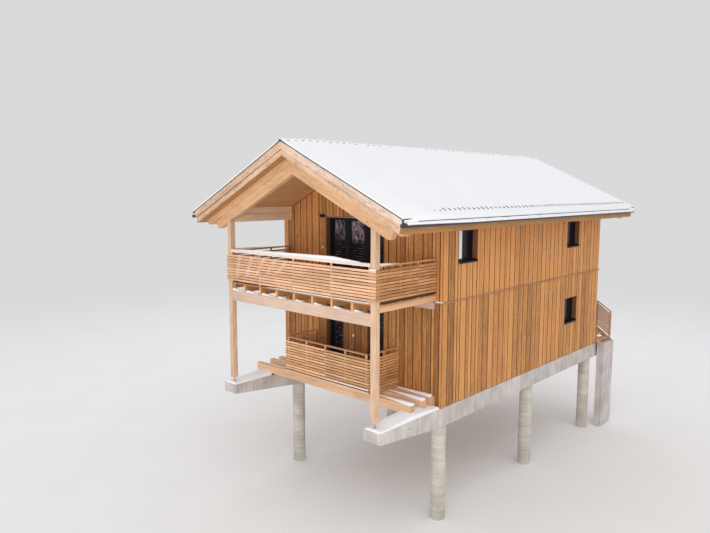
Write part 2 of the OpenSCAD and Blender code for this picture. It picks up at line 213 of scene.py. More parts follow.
class Recipe:
    """The node tree of one material or world."""

    def __init__(self, name: str, kind: bpy.types.bpy_prop_collection | None = None) -> None:
        """Start an empty tree.

        Args:
            name: What the material or world is called.
            kind: The collection that it belongs to, where it isn't a material.
        """
        self.owner = (bpy.data.materials if kind is None else kind).new(name)
        self.owner.use_nodes = True
        self.tree = self.owner.node_tree
        self.tree.nodes.clear()

    def node(self, kind: str, inputs: dict | None = None, **settings: object) -> bpy.types.Node:
        """Add a node.

        Args:
            kind: The node's type, without its ShaderNode prefix.
            inputs: Numbers, colours or values for its inputs.
            settings: The node's own settings.

        Returns:
            The new node.
        """
        node = self.tree.nodes.new("ShaderNode" + kind)
        for key, value in settings.items():
            setattr(node, key, value)
        for key, value in (inputs or {}).items():
            socket = node.inputs[key]
            if isinstance(value, Value):
                self.tree.links.new(value.socket, socket)
            elif isinstance(value, (int, float)):
                socket.default_value = value
            else:
                socket.default_value = (*value, 1.0)[: len(socket.default_value)]
        return node

    def value(
        self, kind: str, inputs: dict | None = None, output: int | str = 0, **settings: object
    ) -> Value:
        """One output of a new node."""
        return Value(self, self.node(kind, inputs, **settings).outputs[output])

    def place(self) -> Value:
        """The point of the piece, in metres in the frame."""
        return self.value("TexCoord", output="Object")

    def tone(self) -> Value:
        """How light the face's own board is."""
        return self.value("Attribute", output="Fac", attribute_name=TONE)

    def off_middle(self) -> tuple[Value, Value]:
        """How far the point is from the house's middle along x and y."""
        x, y, _ = self.place().parts()
        return abs(x), abs(y - (PLAN.front + LENGTH / 2))

    def surface(self, **inputs: object) -> bpy.types.Material:
        """Finish the material.

        Args:
            inputs: The shader's inputs, with underscores for the spaces in their names.

        Returns:
            The material.
        """
        shader = self.value("BsdfPrincipled", {key.replace("_", " "): value for key, value in inputs.items()})
        self.node("OutputMaterial", {"Surface": shader})
        return self.owner


def tint(colour: Colour, *factors: float) -> Colour:
    """A colour made lighter or darker, by one factor or by one for each part."""
    return tuple(part * factor for part, factor in zip(colour, factors * (3 // len(factors))))


class Grain(Enum):
    """The way the grain of a timber runs."""

    ALONG_X = "x"
    ALONG_Y = "y"
    UPRIGHT = "z"
    DOWN_SLOPE = "slope"

    def turn(self, recipe: Recipe) -> tuple[Value, Value]:
        """Turn the point so that its first part runs along the grain.

        Args:
            recipe: The material in the making.

        Returns:
            The turned point, and how far the surface is an end of the timber, from 0 to 1.
        """
        x, y, z = axes = recipe.place().parts()
        faces = recipe.value("TexCoord", output="Normal").parts()
        if self is Grain.DOWN_SLOPE:
            axes = (abs(x) * PLAN.cos + z * -PLAN.sin, y, abs(x) * PLAN.sin + z * PLAN.cos)
            end = abs(faces[0]) * PLAN.cos + faces[2] * -PLAN.sin
        else:
            first = "xyz".index(self.value)
            axes, end = axes[first:] + axes[:first], faces[first]
        return recipe.value("CombineXYZ", dict(enumerate(axes))), abs(end).step(0.85, 0.97)


@dataclass(frozen=True)
class Timber:
    """Planed timber: grain, growth streaks, knots, and a tone of its own for each board."""

    name: str
    colour: Colour
    grain: Grain
    spread: float = 0.3
    streaks: float = 0.5
    knot: float = 0.018
    knots_per_metre: float = 5.0
    own_tones: bool = False
    roughness: float = 0.62
    patches: float = 0.7
    ends: float = 0.6
    fibre: float = 0.24

    def shade(self, light: float, hue: float) -> Colour:
        """The colour made lighter or darker, and warmer where it is darker."""
        return tint(self.colour, light, light**hue, light ** (2 * hue - 1))

    def weather_and_shade(self, recipe: Recipe, body: Value) -> Value:
        """The colour after weathering and any painted shade, which most timbers leave as it is."""
        return body

    def material(self) -> bpy.types.Material:
        """Make the material.

        Returns:
            The material.
        """
        recipe = Recipe(self.name)
        point, end = self.grain.turn(recipe)
        distance = point.cells(self.knots_per_metre)
        radius = self.knot * self.knots_per_metre
        bend = distance.step(5 * radius, radius) * 0.4
        flow = recipe.value("VectorMath", {0: point, 1: bend}, operation="ADD")
        streak = flow.noise((1.1, 26.0, 26.0), 3.0)
        patch = point.noise((2.1, 11.0, 11.0), 3.0)
        fibre = point.noise((9.0, 260.0, 260.0), 1.0)
        tone = recipe.tone() if self.own_tones else point.noise((0.5, 2.3, 2.3))
        level = streak.scaled(0.5 - self.streaks, 0.5 + self.streaks) + tone.scaled(-0.5, 0.5)
        level = level + (patch - 0.5) * self.patches + (fibre - 0.5) * self.fibre
        body = level.blend(self.shade(1.0 - self.spread, 1.12), self.shade(1.0 + self.spread, 1.0))
        ring, heart = distance.step(1.9 * radius, radius), distance.step(radius, 0.55 * radius)
        body = (ring * 0.5).blend(body, self.shade(0.6, 1.25))
        body = (heart * 0.75).blend(body, self.shade(0.3, 1.3))
        body = (end * 0.45).blend(body, self.shade(self.ends, 1.1))
        return recipe.surface(
            Base_Color=self.weather_and_shade(recipe, body), Normal=(fibre * 0.6 + streak * 0.4).bump(0.0009, 0.6),
            Roughness=fibre.scaled(self.roughness - 0.08, self.roughness + 0.1), Specular_IOR_Level=0.35,
        )


@dataclass(frozen=True)
class CladdingTimber(Timber):
    """The cladding's larch, with painted shade on the boards' sides in the joints between them."""

    shaded_flank: float = 0.42

    def weather_and_shade(self, recipe: Recipe, body: Value) -> Value:
        """The colour with painted shade: dark where a face's tone marks it as a board's side in a joint, but
        for the corners.

        Args:
            recipe: The material in the making.
            body: The timber's colour so far.

        Returns:
            The colour with its painted shade.
        """
        x, y = recipe.off_middle()
        corner = x.step(HALF - 0.03, HALF - 0.025) * y.step(LENGTH / 2 - 0.035, LENGTH / 2 - 0.03)
        # Painted shade: the boards' sides in the joints, marked by their tone, are darkened as the joints'
        # shade.
        shaded_flank = recipe.tone().step(-0.4, -0.6) * corner.rest()
        return shaded_flank.blend(body, self.shade(self.shaded_flank, 1.15))


@dataclass(frozen=True)
class JoistTimber(Timber):
    """The joists' timber, paler on the outermost ones."""

    outside: Colour = (1.4, 1.64, 2.5)

    def weather_and_shade(self, recipe: Recipe, body: Value) -> Value:
        """The colour made paler on the sides of the deck, below their damp upper edge.

        Args:
            recipe: The material in the making.
            body: The timber's colour so far.

        Returns:
            The weathered colour.
        """
        x, _, z = recipe.place().parts()
        damp = z.step(PLAN.datum + 3.37, PLAN.datum + 3.39)
        return abs(x).step(3.2, 3.22).blend(body, damp.blend(body.stretch(self.outside), body))


@dataclass(frozen=True)
class VergeTimber(Timber):
    """The verge boards' timber, bleached on the right side's outer board."""

    bleaching: Colour = (1.18, 1.42, 1.75)
    outer_board: float = 0.235

    def weather_and_shade(self, recipe: Recipe, body: Value) -> Value:
        """The colour that weathering leaves: paler on the outer board of the right side.

        Args:
            recipe: The material in the making.
            body: The timber's colour so far.

        Returns:
            The weathered colour.
        """
        x, _, z = recipe.place().parts()
        foot = PLAN.datum + PLAN.ridge - self.outer_board
        outer = (abs(x) * PLAN.roof_tan + z).step(foot - 0.01, foot + 0.01)
        return (outer * x.step(-0.15, 0.25) * 0.6).blend(body, body.stretch(self.bleaching))


@dataclass(frozen=True)
class WallCore:
    """The timber wall behind the boards: a dark membrane outside, and boards inside."""

    name: str = "wall_core"
    membrane: Colour = (0.035, 0.020, 0.012)
    lining: Colour = (0.50, 0.34, 0.20)
    skin: float = 0.012
    board: float = 0.07

    def material(self) -> bpy.types.Material:
        """Make the material.

        Returns:
            The material.
        """
        recipe = Recipe(self.name)
        place = recipe.place()
        x, y, _ = place.parts()
        across, deep = recipe.off_middle()
        skin = self.skin + PLAN.cladding
        outside = (across - (HALF - skin)).most(deep - (LENGTH / 2 - skin)).step(-0.002, 0.002)
        joint = (x + y).fold(self.board).step(0.0035, 0.001)
        cloud = place.noise((14.0, 14.0, 0.8), 3.0)
        inside = cloud.blend(tint(self.lining, 0.8, 0.76, 0.7), tint(self.lining, 1.15))
        inside = joint.blend(inside, tint(self.lining, 0.3, 0.25, 0.2))
        cloth = place.noise(90.0, 1.0).blend(self.membrane, tint(self.membrane, 1.6))
        return recipe.surface(
            Base_Color=outside.blend(inside, cloth), Roughness=cloud.scaled(0.6, 0.8),
            Normal=joint.rest().bump(0.002, 0.7),
        )


@dataclass(frozen=True)
class Concrete:
    """Grey concrete with clouds, sand, pores, joints of the formwork, and a tube's seams on the columns."""

    name: str = "concrete"
    colour: Colour = (0.62, 0.57, 0.54)
    form_board: float = 0.5
    tube_seam: float = 0.068
    column_tint: Colour = (1.0, 1.01, 0.93)
    column_top: float = -0.65
    columns_end: float = 11.2

    def material(self) -> bpy.types.Material:
        """Make the material.

        Returns:
            The material.
        """
        recipe = Recipe(self.name)
        place = recipe.place()
        _, y, z = place.parts()
        top, end = PLAN.datum + self.column_top, PLAN.front + self.columns_end
        column = z.step(top + 0.02, top) * y.step(end + 0.05, end)
        stain = column.blend(place.noise((9.0, 9.0, 0.7), 3.0), place.noise((0.9, 0.9, 7.0), 3.0))
        seam = z.fold(self.tube_seam).step(0.014, 0.002) * column
        joint = y.fold(self.form_board).step(0.008, 0.0)
        cloud, sand = place.noise(1.6, 5.0), place.noise(120.0)
        pores = place.cells(28.0).step(0.12, 0.05)
        level = (cloud * 0.6 + stain * 0.4).step(0.3, 0.7)
        body = level.blend(tint(self.colour, 0.74, 0.73, 0.72), tint(self.colour, 1.16, 1.17, 1.18))
        body = column.blend(body, body.stretch(self.column_tint))
        for mark, strength, dark in (
            (seam, 0.3, (0.55, 0.53, 0.5)), (sand, 0.18, (0.5,)),
            (joint, 0.35, (0.5,)), (pores, 0.5, (0.35,)),
        ):
            body = (mark * strength).blend(body, tint(self.colour, *dark))
        return recipe.surface(
            Base_Color=body, Roughness=cloud.scaled(0.78, 0.93), Specular_IOR_Level=0.3,
            Normal=(sand * 0.3 - pores - joint * 0.8).bump(0.002, 0.8),
        )


@dataclass(frozen=True)
class Coating:
    """A coated or bare metal: one colour with slight clouds, and a fine texture."""

    name: str
    colour: Colour
    metallic: float = 0.0
    roughness: float = 0.45
    clouds: float = 0.25
    gloss: float = 0.5

    def material(self) -> bpy.types.Material:
        """Make the material.

        Returns:
            The material.
        """
        recipe = Recipe(self.name)
        cloud = recipe.place().noise(3.0, 4.0)
        return recipe.surface(
            Base_Color=cloud.blend(
                tint(self.colour, 1.0 - self.clouds), tint(self.colour, 1.0 + self.clouds)),
            Roughness=cloud.scaled(self.roughness - 0.08, self.roughness + 0.1), Metallic=self.metallic,
            Normal=recipe.place().noise(420.0, 1.0).bump(0.0003, 0.4), Specular_IOR_Level=self.gloss,
        )


@dataclass(frozen=True)
class Glass:
    """Dark insulating glass with painted reflections: a faint lavender reflection of snowy trees in the upper
    panes, and bright streaks reflected from the rail's slats in the lower.
    """

    name: str = "pane_glass"
    colour: Colour = (0.010, 0.011, 0.016)
    reflection_tint: Colour = (0.42, 0.33, 0.39)
    panes: tuple[Span, ...] = ((-0.815, 0.25), (0.02, 0.32))
    slat_reflection_pitch: float = 0.045

    def material(self) -> bpy.types.Material:
        """Make the material.

        Returns:
            The material.
        """
        recipe = Recipe(self.name)
        place = recipe.place()
        x, y, z = place.parts()
        # Painted reflections, on the front's panes only: the snowy trees in the upper panes, the rail's slats
        # in the lower ones.
        upper = z.step(PLAN.datum + 4.70, PLAN.datum + 4.95)
        reflected_drift = place.noise((3.4, 3.4, 1.9), 4.0).step(0.30, 0.66)
        reflected_twigs = place.noise((13.0, 13.0, 8.0), 6.0).step(0.28, 0.72)
        broken = place.noise((9.0, 9.0, 22.0)).step(0.46, 0.58)
        slat_reflections = z.fold(self.slat_reflection_pitch).step(0.8 * self.slat_reflection_pitch, self.slat_reflection_pitch) * broken * 0.8
        seen = x.step(0.55, 0.60)
        for middle, half in self.panes:
            seen = seen.most(abs(x - middle).step(half + 0.03, half))
        seen = seen * y.step(PLAN.front + 0.6, PLAN.front + 0.5)
        painted_reflection = (reflected_drift * reflected_twigs * upper).most(slat_reflections * upper.rest()) * seen
        return recipe.surface(
            Base_Color=painted_reflection.blend(self.colour, self.reflection_tint), Roughness=0.03,
            Normal=place.noise(0.9, 1.0).bump(0.004, 0.25), Specular_IOR_Level=0.12,
        )


@dataclass(frozen=True)
class Snow:
    """Settled snow: bright, faintly darker and cooler in random clouds, with a granular surface."""

    name: str = "settled_snow"
    colour: Colour = (0.90, 0.905, 0.925)

    def material(self) -> bpy.types.Material:
        """Make the material.

        Returns:
            The material.
        """
        recipe = Recipe(self.name)
        place = recipe.place()
        crust, grains = place.noise(14.0, 4.0), place.noise(230.0)
        body = place.noise(0.8, 4.0).blend(tint(self.colour, 0.94, 0.95, 0.97), self.colour)
        return recipe.surface(
            Base_Color=body, Roughness=grains.scaled(0.6, 0.8),
            Normal=(crust * 0.75 + grains * 0.25).bump(0.008, 0.6), Specular_IOR_Level=0.3,
        )


class Finishes:
    """The finishes of the house, each made once."""

    CLADDING = CladdingTimber(
        "larch_cladding", (0.50, 0.225, 0.070), Grain.UPRIGHT, 0.46, 0.8, 0.016, 6.0, True, patches=0.8)
    LINING = Timber("larch_reveals", (0.20, 0.085, 0.036), Grain.UPRIGHT, 0.25, 0.4, 0.012, 4.0)
    # Near-black brown for the strips that are painted shadow under the side rails.
    SHADOW_BROWN = Timber("shadow_brown_strips", (0.06, 0.024, 0.011), Grain.ALONG_Y, 0.25, 0.4, 0.012, 3.0)
    BAND = Timber("storey_band", (0.42, 0.235, 0.120), Grain.ALONG_Y, 0.25, 0.4, 0.012, 3.0)
    SOFFIT = Timber("soffit_boards", (0.70, 0.395, 0.185), Grain.ALONG_Y, 0.16, 0.3, 0.010, 2.5, True)
    ROOF = Timber("roof_timber", (0.46, 0.23, 0.085), Grain.ALONG_Y, 0.24, 0.5)
    VERGE = VergeTimber(
        "verge_timber", (0.68, 0.45, 0.305), Grain.DOWN_SLOPE, 0.34, 0.6, 0.022, 6.5, patches=1.2)
    RAFTER = Timber(
        "rafter_timber", (0.74, 0.455, 0.25), Grain.DOWN_SLOPE, 0.28, 0.5, 0.020, 5.0, patches=1.0)
    POST = Timber("post_timber", (0.71, 0.48, 0.32), Grain.UPRIGHT, 0.26, 0.5, 0.017, 3.6, True, patches=1.0)
    HANDRAIL = Timber("handrail_timber", (0.77, 0.66, 0.575), Grain.ALONG_X, 0.2, 0.3, 0.012, 3.0)
    LOWER_HANDRAIL = Timber("lower_handrail_timber", (0.50, 0.28, 0.15), Grain.ALONG_X, 0.2, 0.4, 0.012, 3.0)
    BEAM = Timber("beam_timber", (0.63, 0.455, 0.35), Grain.ALONG_X, 0.24, 0.4, 0.017, 2.6)
    CROSS = Timber("cross_beam_timber", (0.71, 0.45, 0.275), Grain.ALONG_X, 0.27, 0.45, 0.018, 2.6)
    EAVES = Timber("eaves_timber", (0.86, 0.67, 0.47), Grain.ALONG_Y, 0.22, 0.4, 0.016, 3.0)
    JOIST = JoistTimber("joist_timber", (0.50, 0.25, 0.092), Grain.ALONG_Y, 0.25, 0.4, 0.014, 3.5, ends=2.0)
    DECK = Timber("deck_boards", (0.52, 0.305, 0.165), Grain.ALONG_X, 0.28, 0.45, 0.012, 4.0, True)
    SLAT = Timber(
        "slat_timber", (0.76, 0.455, 0.275), Grain.ALONG_X, 0.28, 0.55, 0.012, 4.5, True, patches=1.1)
    # The slats' timber made darker for the side rails: painted shade.
    SHADED_SIDE_SLAT = Timber(
        "shaded_side_slat_timber", (0.58, 0.285, 0.12), Grain.ALONG_Y, 0.36, 0.6, 0.012, 4.5, True, patches=1.1)
    LOWER_SLAT = Timber(
        "lower_slat_timber", (0.71, 0.41, 0.22), Grain.ALONG_X, 0.36, 0.6, 0.012, 4.5, True, patches=1.1)
    REAR = Timber("rear_timber", (0.56, 0.33, 0.175), Grain.ALONG_X, 0.25, 0.45, 0.014, 3.5)
    FLOOR = Timber("floor_boards", (0.42, 0.26, 0.14), Grain.ALONG_Y, 0.3, 0.5, 0.012, 3.0)
    DOOR = Timber("entrance_boards", (0.24, 0.115, 0.055), Grain.UPRIGHT, 0.3, 0.5, 0.010, 3.0)
    CORE = WallCore()
    CONCRETE = Concrete()
    SHEET = Coating("anthracite_sheet", (0.060, 0.066, 0.078), 0.55, 0.42)
    GUARD = Coating("weathered_steel", (0.20, 0.175, 0.155), 0.4, 0.5)
    FRAME = Coating("dark_frame", (0.009, 0.009, 0.015), 0.0, 0.45, gloss=0.16)
    STEEL = Coating("galvanized_steel", (0.42, 0.43, 0.44), 0.85, 0.40)
    WHITE = Coating("white_coating", (0.80, 0.80, 0.82), 0.0, 0.35, 0.06)
    STRIP = Coating("plain_aluminium", (0.36, 0.34, 0.40), 0.2, 0.45)
    PADS = Coating("rubber_pads", (0.05, 0.05, 0.05), 0.0, 0.8)
    GLASS = Glass()
    SNOW = Snow()
    made: dict[str, bpy.types.Material] = {}

    @classmethod
    def get(cls, finish: object) -> bpy.types.Material:
        """The material of a finish.

        Args:
            finish: The finish.

        Returns:
            The material, made now if it is new.
        """
        if finish.name not in cls.made:
            cls.made[finish.name] = finish.material()
        return cls.made[finish.name]


# Shapes


class Shape:
    """The mesh of one piece, gathered from closed parts that bmesh operators make."""

    def __init__(self) -> None:
        """Start an empty mesh with a tone for each face."""
        self.mesh = bmesh.new()
        self.mesh.faces.layers.float.new(TONE)

    def add(
        self, part: bmesh.types.BMesh, tone: float = 0.5, place: Matrix | None = None, smooth: bool = False,
        shaded_flank: float | None = None,
    ) -> None:
        """Put one closed part into the piece.

        Args:
            part: The part, which is used up.
            tone: How light the part's own timber is, from 0 to 1.
            place: Where the part goes, in the house's measure.
            smooth: Whether its faces are shaded as one surface.
            shaded_flank: The tone of the faces towards its own left and right, where that differs, which the
                cladding paints as shade.
        """
        layer = part.faces.layers.float.new(TONE)
        part.normal_update()
        for face in part.faces:
            aside = shaded_flank is not None and abs(face.normal.x) > 0.6
            face[layer] = shaded_flank if aside else tone
            face.smooth = smooth
        if place is not None:
            bmesh.ops.transform(part, matrix=place, verts=part.verts)
        bmesh.ops.recalc_face_normals(part, faces=part.faces)
        buffer = bpy.data.meshes.new("buffer")
        part.to_mesh(buffer)
        part.free()
        self.mesh.from_mesh(buffer)
        bpy.data.meshes.remove(buffer)

    def block(
        self, corner: Sequence[float], other: Sequence[float], edge: float = 0.004, tone: float = 0.5,
        place: Matrix | None = None, cuts: Iterable[tuple[Vector, Vector]] = (), shaded_flank: float | None = None,
    ) -> None:
        """Put in a timber or plate with eased edges.

        Args:
            corner: One of its corners.
            other: The corner opposite to that.
            edge: How wide its eased edges are.
            tone: How light its own timber is.
            place: Where it goes, in the house's measure.
            cuts: Planes that cut it off, as a point and the way out.
            shaded_flank: The tone of its left and right faces, where that differs, which the cladding paints
                as shade.
        """
        low, high = (Vector(tuple(map(pick, corner, other))) for pick in (min, max))
        part = bmesh.new()
        scale = Matrix.Diagonal((*(high - low), 1.0))
        bmesh.ops.create_cube(part, size=1.0, matrix=Matrix.Translation((high + low) / 2) @ scale)
        bmesh.ops.bevel(
            part, geom=part.edges[:], offset=edge, offset_type="OFFSET", affect="EDGES", segments=1,
            profile=0.5, material=-1, clamp_overlap=True,
        )
        for point, way in cuts:
            geometry = part.verts[:] + part.edges[:] + part.faces[:]
            cut = bmesh.ops.bisect_plane(part, geom=geometry, plane_co=point, plane_no=way, clear_outer=True)
            rim = [item for item in cut["geom_cut"] if isinstance(item, bmesh.types.BMEdge)]
            if rim:
                bmesh.ops.edgeloop_fill(part, edges=rim)
        if part.faces:
            self.add(part, tone, place, shaded_flank=shaded_flank)
        else:
            part.free()

    def rod(
        self, start: Sequence[float], end: Sequence[float], radius: float, tip: float | None = None,
        sides: int = 24, edge: float = 0.0, place: Matrix | None = None,
    ) -> None:
        """Put in a round bar or disc.

        Args:
            start: The middle of its first end.
            end: The middle of its other end.
            radius: Its radius at the start.
            tip: Its radius at the end, where that differs.
            sides: How many faces go round it.
            edge: How wide its eased rims are.
            place: Where it goes, in the house's measure.
        """
        part = bmesh.new()
        way = Vector(end) - Vector(start)
        turn = way.to_track_quat("Z", "Y").to_matrix().to_4x4()
        bmesh.ops.create_cone(
            part, cap_ends=True, segments=sides, radius1=radius, radius2=radius if tip is None else tip,
            depth=way.length, matrix=Matrix.Translation((Vector(start) + Vector(end)) / 2) @ turn,
        )
        if edge > 0:
            rims = [item for item in part.edges if max(len(face.verts) for face in item.link_faces) > 4]
            bmesh.ops.bevel(
                part, geom=rims, offset=edge, offset_type="OFFSET", affect="EDGES", segments=2, profile=0.5,
                material=-1,
            )
        self.add(part, 0.5, place, smooth=True)

    def heap(
        self, x: Span, y: Span | Callable[[float], Span], base: float | Height, depth: float | Height,
        cells: tuple[int, int], rim: float = 0.05,
    ) -> None:
        """Put in a bed of snow with rounded edges.

        Args:
            x: Its two ends.
            y: Its near and far side, everywhere or at an x.
            base: Height of what carries it.
            depth: How deep it is.
            cells: How many cells it has along x and y.
            rim: How far in from its edges it is rounded.
        """
        start, end = sorted(x)
        part = bmesh.new()
        bmesh.ops.create_grid(part, x_segments=cells[0], y_segments=cells[1], size=0.5)
        floor = part.verts[:]
        grown = bmesh.ops.extrude_face_region(part, geom=part.faces[:])
        crust = [item for item in grown["geom"] if isinstance(item, bmesh.types.BMVert)]
        for above, verts in ((False, floor), (True, crust)):
            for vert in verts:
                s, t = (0.5 - 0.5 * math.cos(math.pi * (share + 0.5)) for share in vert.co.xy)
                px = start + s * (end - start)
                near, far = y(px) if callable(y) else y
                py = near + t * (far - near)
                inset = min(s, 1 - s) * (end - start), min(t, 1 - t) * (far - near)
                lift = math.prod(math.sqrt(1 - (1 - min(gap / rim, 1.0)) ** 2) for gap in inset)
                foot, deep = (item(px, py) if callable(item) else item for item in (base, depth))
                top = (0.12 + 0.88 * lift) * max(deep, 0.004)
                vert.co = px, py, foot + (top if above else 0.0)
        self.add(part, smooth=True)

    def piece(
        self, name: str, finish: object, slot: str, body: str = HOUSE, stands_for: Sequence[str] = ()
    ) -> None:
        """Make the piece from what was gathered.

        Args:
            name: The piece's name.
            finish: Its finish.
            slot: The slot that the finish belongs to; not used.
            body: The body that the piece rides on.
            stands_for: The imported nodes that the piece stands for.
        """
        bmesh.ops.translate(self.mesh, vec=ORIGIN, verts=self.mesh.verts)
        mesh = bpy.data.meshes.new(name)
        self.mesh.to_mesh(mesh)
        self.mesh.free()
        mesh.materials.append(Finishes.get(finish))
        piece = linked(name, mesh)
        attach(piece, body)
        if stands_for:
            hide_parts(*stands_for)
        LOG.info("%s: %d faces, %s", name, len(mesh.polygons), finish.name)


def linked(name: str, data: bpy.types.ID) -> bpy.types.Object:
    """A new object of the scene.

    Args:
        name: What it is called.
        data: Its mesh, light or camera.

    Returns:
        The object.
    """
    thing = bpy.data.objects.new(name, data)
    bpy.context.scene.collection.objects.link(thing)
    return thing


def wobble(x: float, y: float, size: float, seed: float) -> float:
    """A smooth random value from -1 to 1 that changes over the size."""
    return noise.noise(Vector((x / size, y / size, seed)))


def along(value: float, marks: Sequence[Span]) -> float:
    """A value on the straight lines between marks, each a place and its value there.

    Args:
        value: Where to read.
        marks: The ends of the lines, from the first to the last.

    Returns:
        The value there.
    """
    for (start, first), (end, second) in zip(marks, marks[1:]):
        if value <= end:
            return first + (second - first) * max(value - start, 0.0) / (end - start)
    return marks[-1][1]


def ease(value: float, low: float, high: float) -> float:
    """A soft step from 0 at low to 1 at high."""
    t = min(max((value - low) / (high - low), 0.0), 1.0)
    return t * t * (3 - 2 * t)


def places(start: float, stop: float, step: float) -> Iterator[float]:
    """The places from a start up to a stop, one step apart.

    Args:
        start: The first place.
        stop: Where the row has to end.
        step: How far the places are apart.

    Returns:
        One place after another.
    """
    while start < stop:
        yield start
        start += step


def slope_place(side: int) -> Matrix:
    """The way from a slope's own measure to the house's.

    Args:
        side: 1 for the right slope and -1 for the left one.

    Returns:
        A matrix for points given down the slope, along the ridge, and down into the roof.
    """
    return Matrix((
        (side * PLAN.cos, 0.0, -side * PLAN.sin, 0.0),
        (0.0, 1.0, 0.0, 0.0),
        (-PLAN.sin, 0.0, -PLAN.cos, PLAN.ridge),
        (0.0, 0.0, 0.0, 1.0),
    ))


# Walls


class Face(Enum):
    """The four outer faces of the house."""

    FRONT = "front"
    REAR = "rear"
    LEFT = "left"
    RIGHT = "right"

    @property
    def place(self) -> Matrix:
        """The way from the face's own measure, along, inward and up, to the house's.

        Returns:
            The matrix.
        """
        rows = {
            Face.FRONT: ((1, 0, 0, 0), (0, 1, 0, 0)),
            Face.REAR: ((1, 0, 0, 0), (0, -1, 0, LENGTH)),
            Face.LEFT: ((0, 1, 0, -HALF), (1, 0, 0, 0)),
            Face.RIGHT: ((0, -1, 0, HALF), (1, 0, 0, 0)),
        }[self]
        return Matrix((*rows, (0, 0, 1, 0), (0, 0, 0, 1)))


@dataclass(frozen=True)
class Opening:
    """A door or window opening in a face."""

    left: float
    right: float
    low: float
    high: float

    @property
    def is_door(self) -> bool:
        """Whether the opening comes down to a floor."""
        return self.high - self.low > 1.5


def window(left: float, low: float, width: float = 1.05, height: float = 0.97) -> Opening:
    """A window's opening from its lowest corner."""
    return Opening(left, left + width, low, low + height)


SIDE_WINDOWS = (window(0.79, 4.33), window(8.2, 4.33), window(8.2, 1.33))
OPENINGS: dict[Face, tuple[Opening, ...]] = {
    Face.FRONT: (
        Opening(-1.33, -0.53, 0.5, 2.61), Opening(0.57, 1.25, 0.5, 2.61), Opening(-1.33, 1.25, 3.5, 5.62),
    ),
    Face.RIGHT: SIDE_WINDOWS,
    Face.LEFT: SIDE_WINDOWS,
    Face.REAR: (window(-1.5, 4.33), window(0.9, 4.33), Opening(1.2, 2.2, 0.5, 2.6)),
}


@dataclass
class Cladding:
    """The upright larch boards of one face, in two storeys, with wide shadow joints between them."""

    face: Face
    joints: Sequence[float]
    seed: int
    foot: float = PLAN.wall_foot
    storey: Span = (3.165, 3.195)
    thickness: float = 0.022
    joint: float = 0.026
    groove: float = 0.005
    edge: float = 0.005
    head_gap: float = 0.034
    corner_gap: float = 0.002
    narrowest: float = 0.11
    splits: tuple[float, ...] = (0.0, 0.0, 0.0, 0.0, 0.38, 0.5)
    tones: dict[int, float] = field(default_factory=dict)
    # How much lighter the upper storey's boards are and darker the lower's: painted light and shade.
    storey_light_shift: float = 0.0
    tone_span: Span = (0.15, 0.85)
    own_tone: float = 0.12

    @property
    def is_gable(self) -> bool:
        """Whether the face runs up to the ridge."""
        return self.face in (Face.FRONT, Face.REAR)

    def cuts(self) -> list[tuple[Vector, Vector]]:
        """The planes under the soffit that cut the boards' heads.

        Returns:
            The planes, each as a point and the way out.
        """
        if not self.is_gable:
            return []
        top = Vector((0.0, 0.0, PLAN.ridge - PLAN.soffit_drop - self.head_gap))
        return [(top, Vector((side * PLAN.roof_tan, 0.0, 1.0))) for side in SIDES]

    def slots(self) -> list[Span]:
        """The places of the boards along the face, which end at the openings' sides.

        Returns:
            The start and end of each slot.
        """
        sides = sorted({edge for o in OPENINGS[self.face] for edge in (o.left, o.right)})
        inner = [j for j in self.joints[1:-1] if all(abs(j - edge) > self.narrowest for edge in sides)]
        marks = sorted([self.joints[0], self.joints[-1], *inner, *sides])
        return list(zip(marks, marks[1:]))

    def runs(self, left: float, right: float) -> list[Span]:
        """The heights that a board of a slot covers, past its openings and the storey band.

        Args:
            left: Where the slot starts.
            right: Where the slot ends.

        Returns:
            The low and high end of each board, from below.
        """
        head = PLAN.ridge if self.is_gable else PLAN.roof_z(HALF, PLAN.soffit_drop) - self.head_gap
        middle = (left + right) / 2
        gaps = [self.storey, *((o.low, o.high) for o in OPENINGS[self.face] if o.left < middle < o.right)]
        runs, start = [], self.foot
        for low, high in sorted(gaps):
            if low > start + 0.02:
                runs.append((start, low))
            start = max(start, high)
        return runs + [(start, head)]

    def build(self) -> None:
        """Lay the boards."""
        rng = random.Random(self.seed)
        shape, cuts, place = Shape(), self.cuts(), self.face.place
        for number, (left, right) in enumerate(self.slots()):
            share = rng.choice(self.splits)
            parts = [(left, right)]
            if share and right - left > 0.2:
                middle = left + share * (right - left)
                lap = (self.joint - self.groove) / 2
                parts = [(left, middle + lap), (middle - lap, right)]
            for start, end in parts:
                base = self.tones.get(number, rng.uniform(*self.tone_span))
                near = start + (self.joint / 2 if start > self.joints[0] else self.corner_gap)
                far = end - (self.joint / 2 if end < self.joints[-1] else self.corner_gap)
                for low, high in self.runs(left, right):
                    out = rng.uniform(0.0, 0.0015)
                    # Painted light and shade: the upper storey's boards are lighter and the lower storey's
                    # darker by the shift.
                    shift = self.storey_light_shift if low > self.storey[0] else -self.storey_light_shift
                    tone = min(max(base + shift + rng.uniform(-self.own_tone, self.own_tone), 0.0), 1.0)
                    corner = (far, out + self.thickness, high)
                    # The boards' sides get the tone -1, which the cladding's material paints as the shade in
                    # the joints.
                    shape.block((near, out, low), corner, self.edge, tone, place, cuts, shaded_flank=-1.0)
        shape.piece(f"{self.face.value}_cladding", Finishes.CLADDING, "larch_wall")


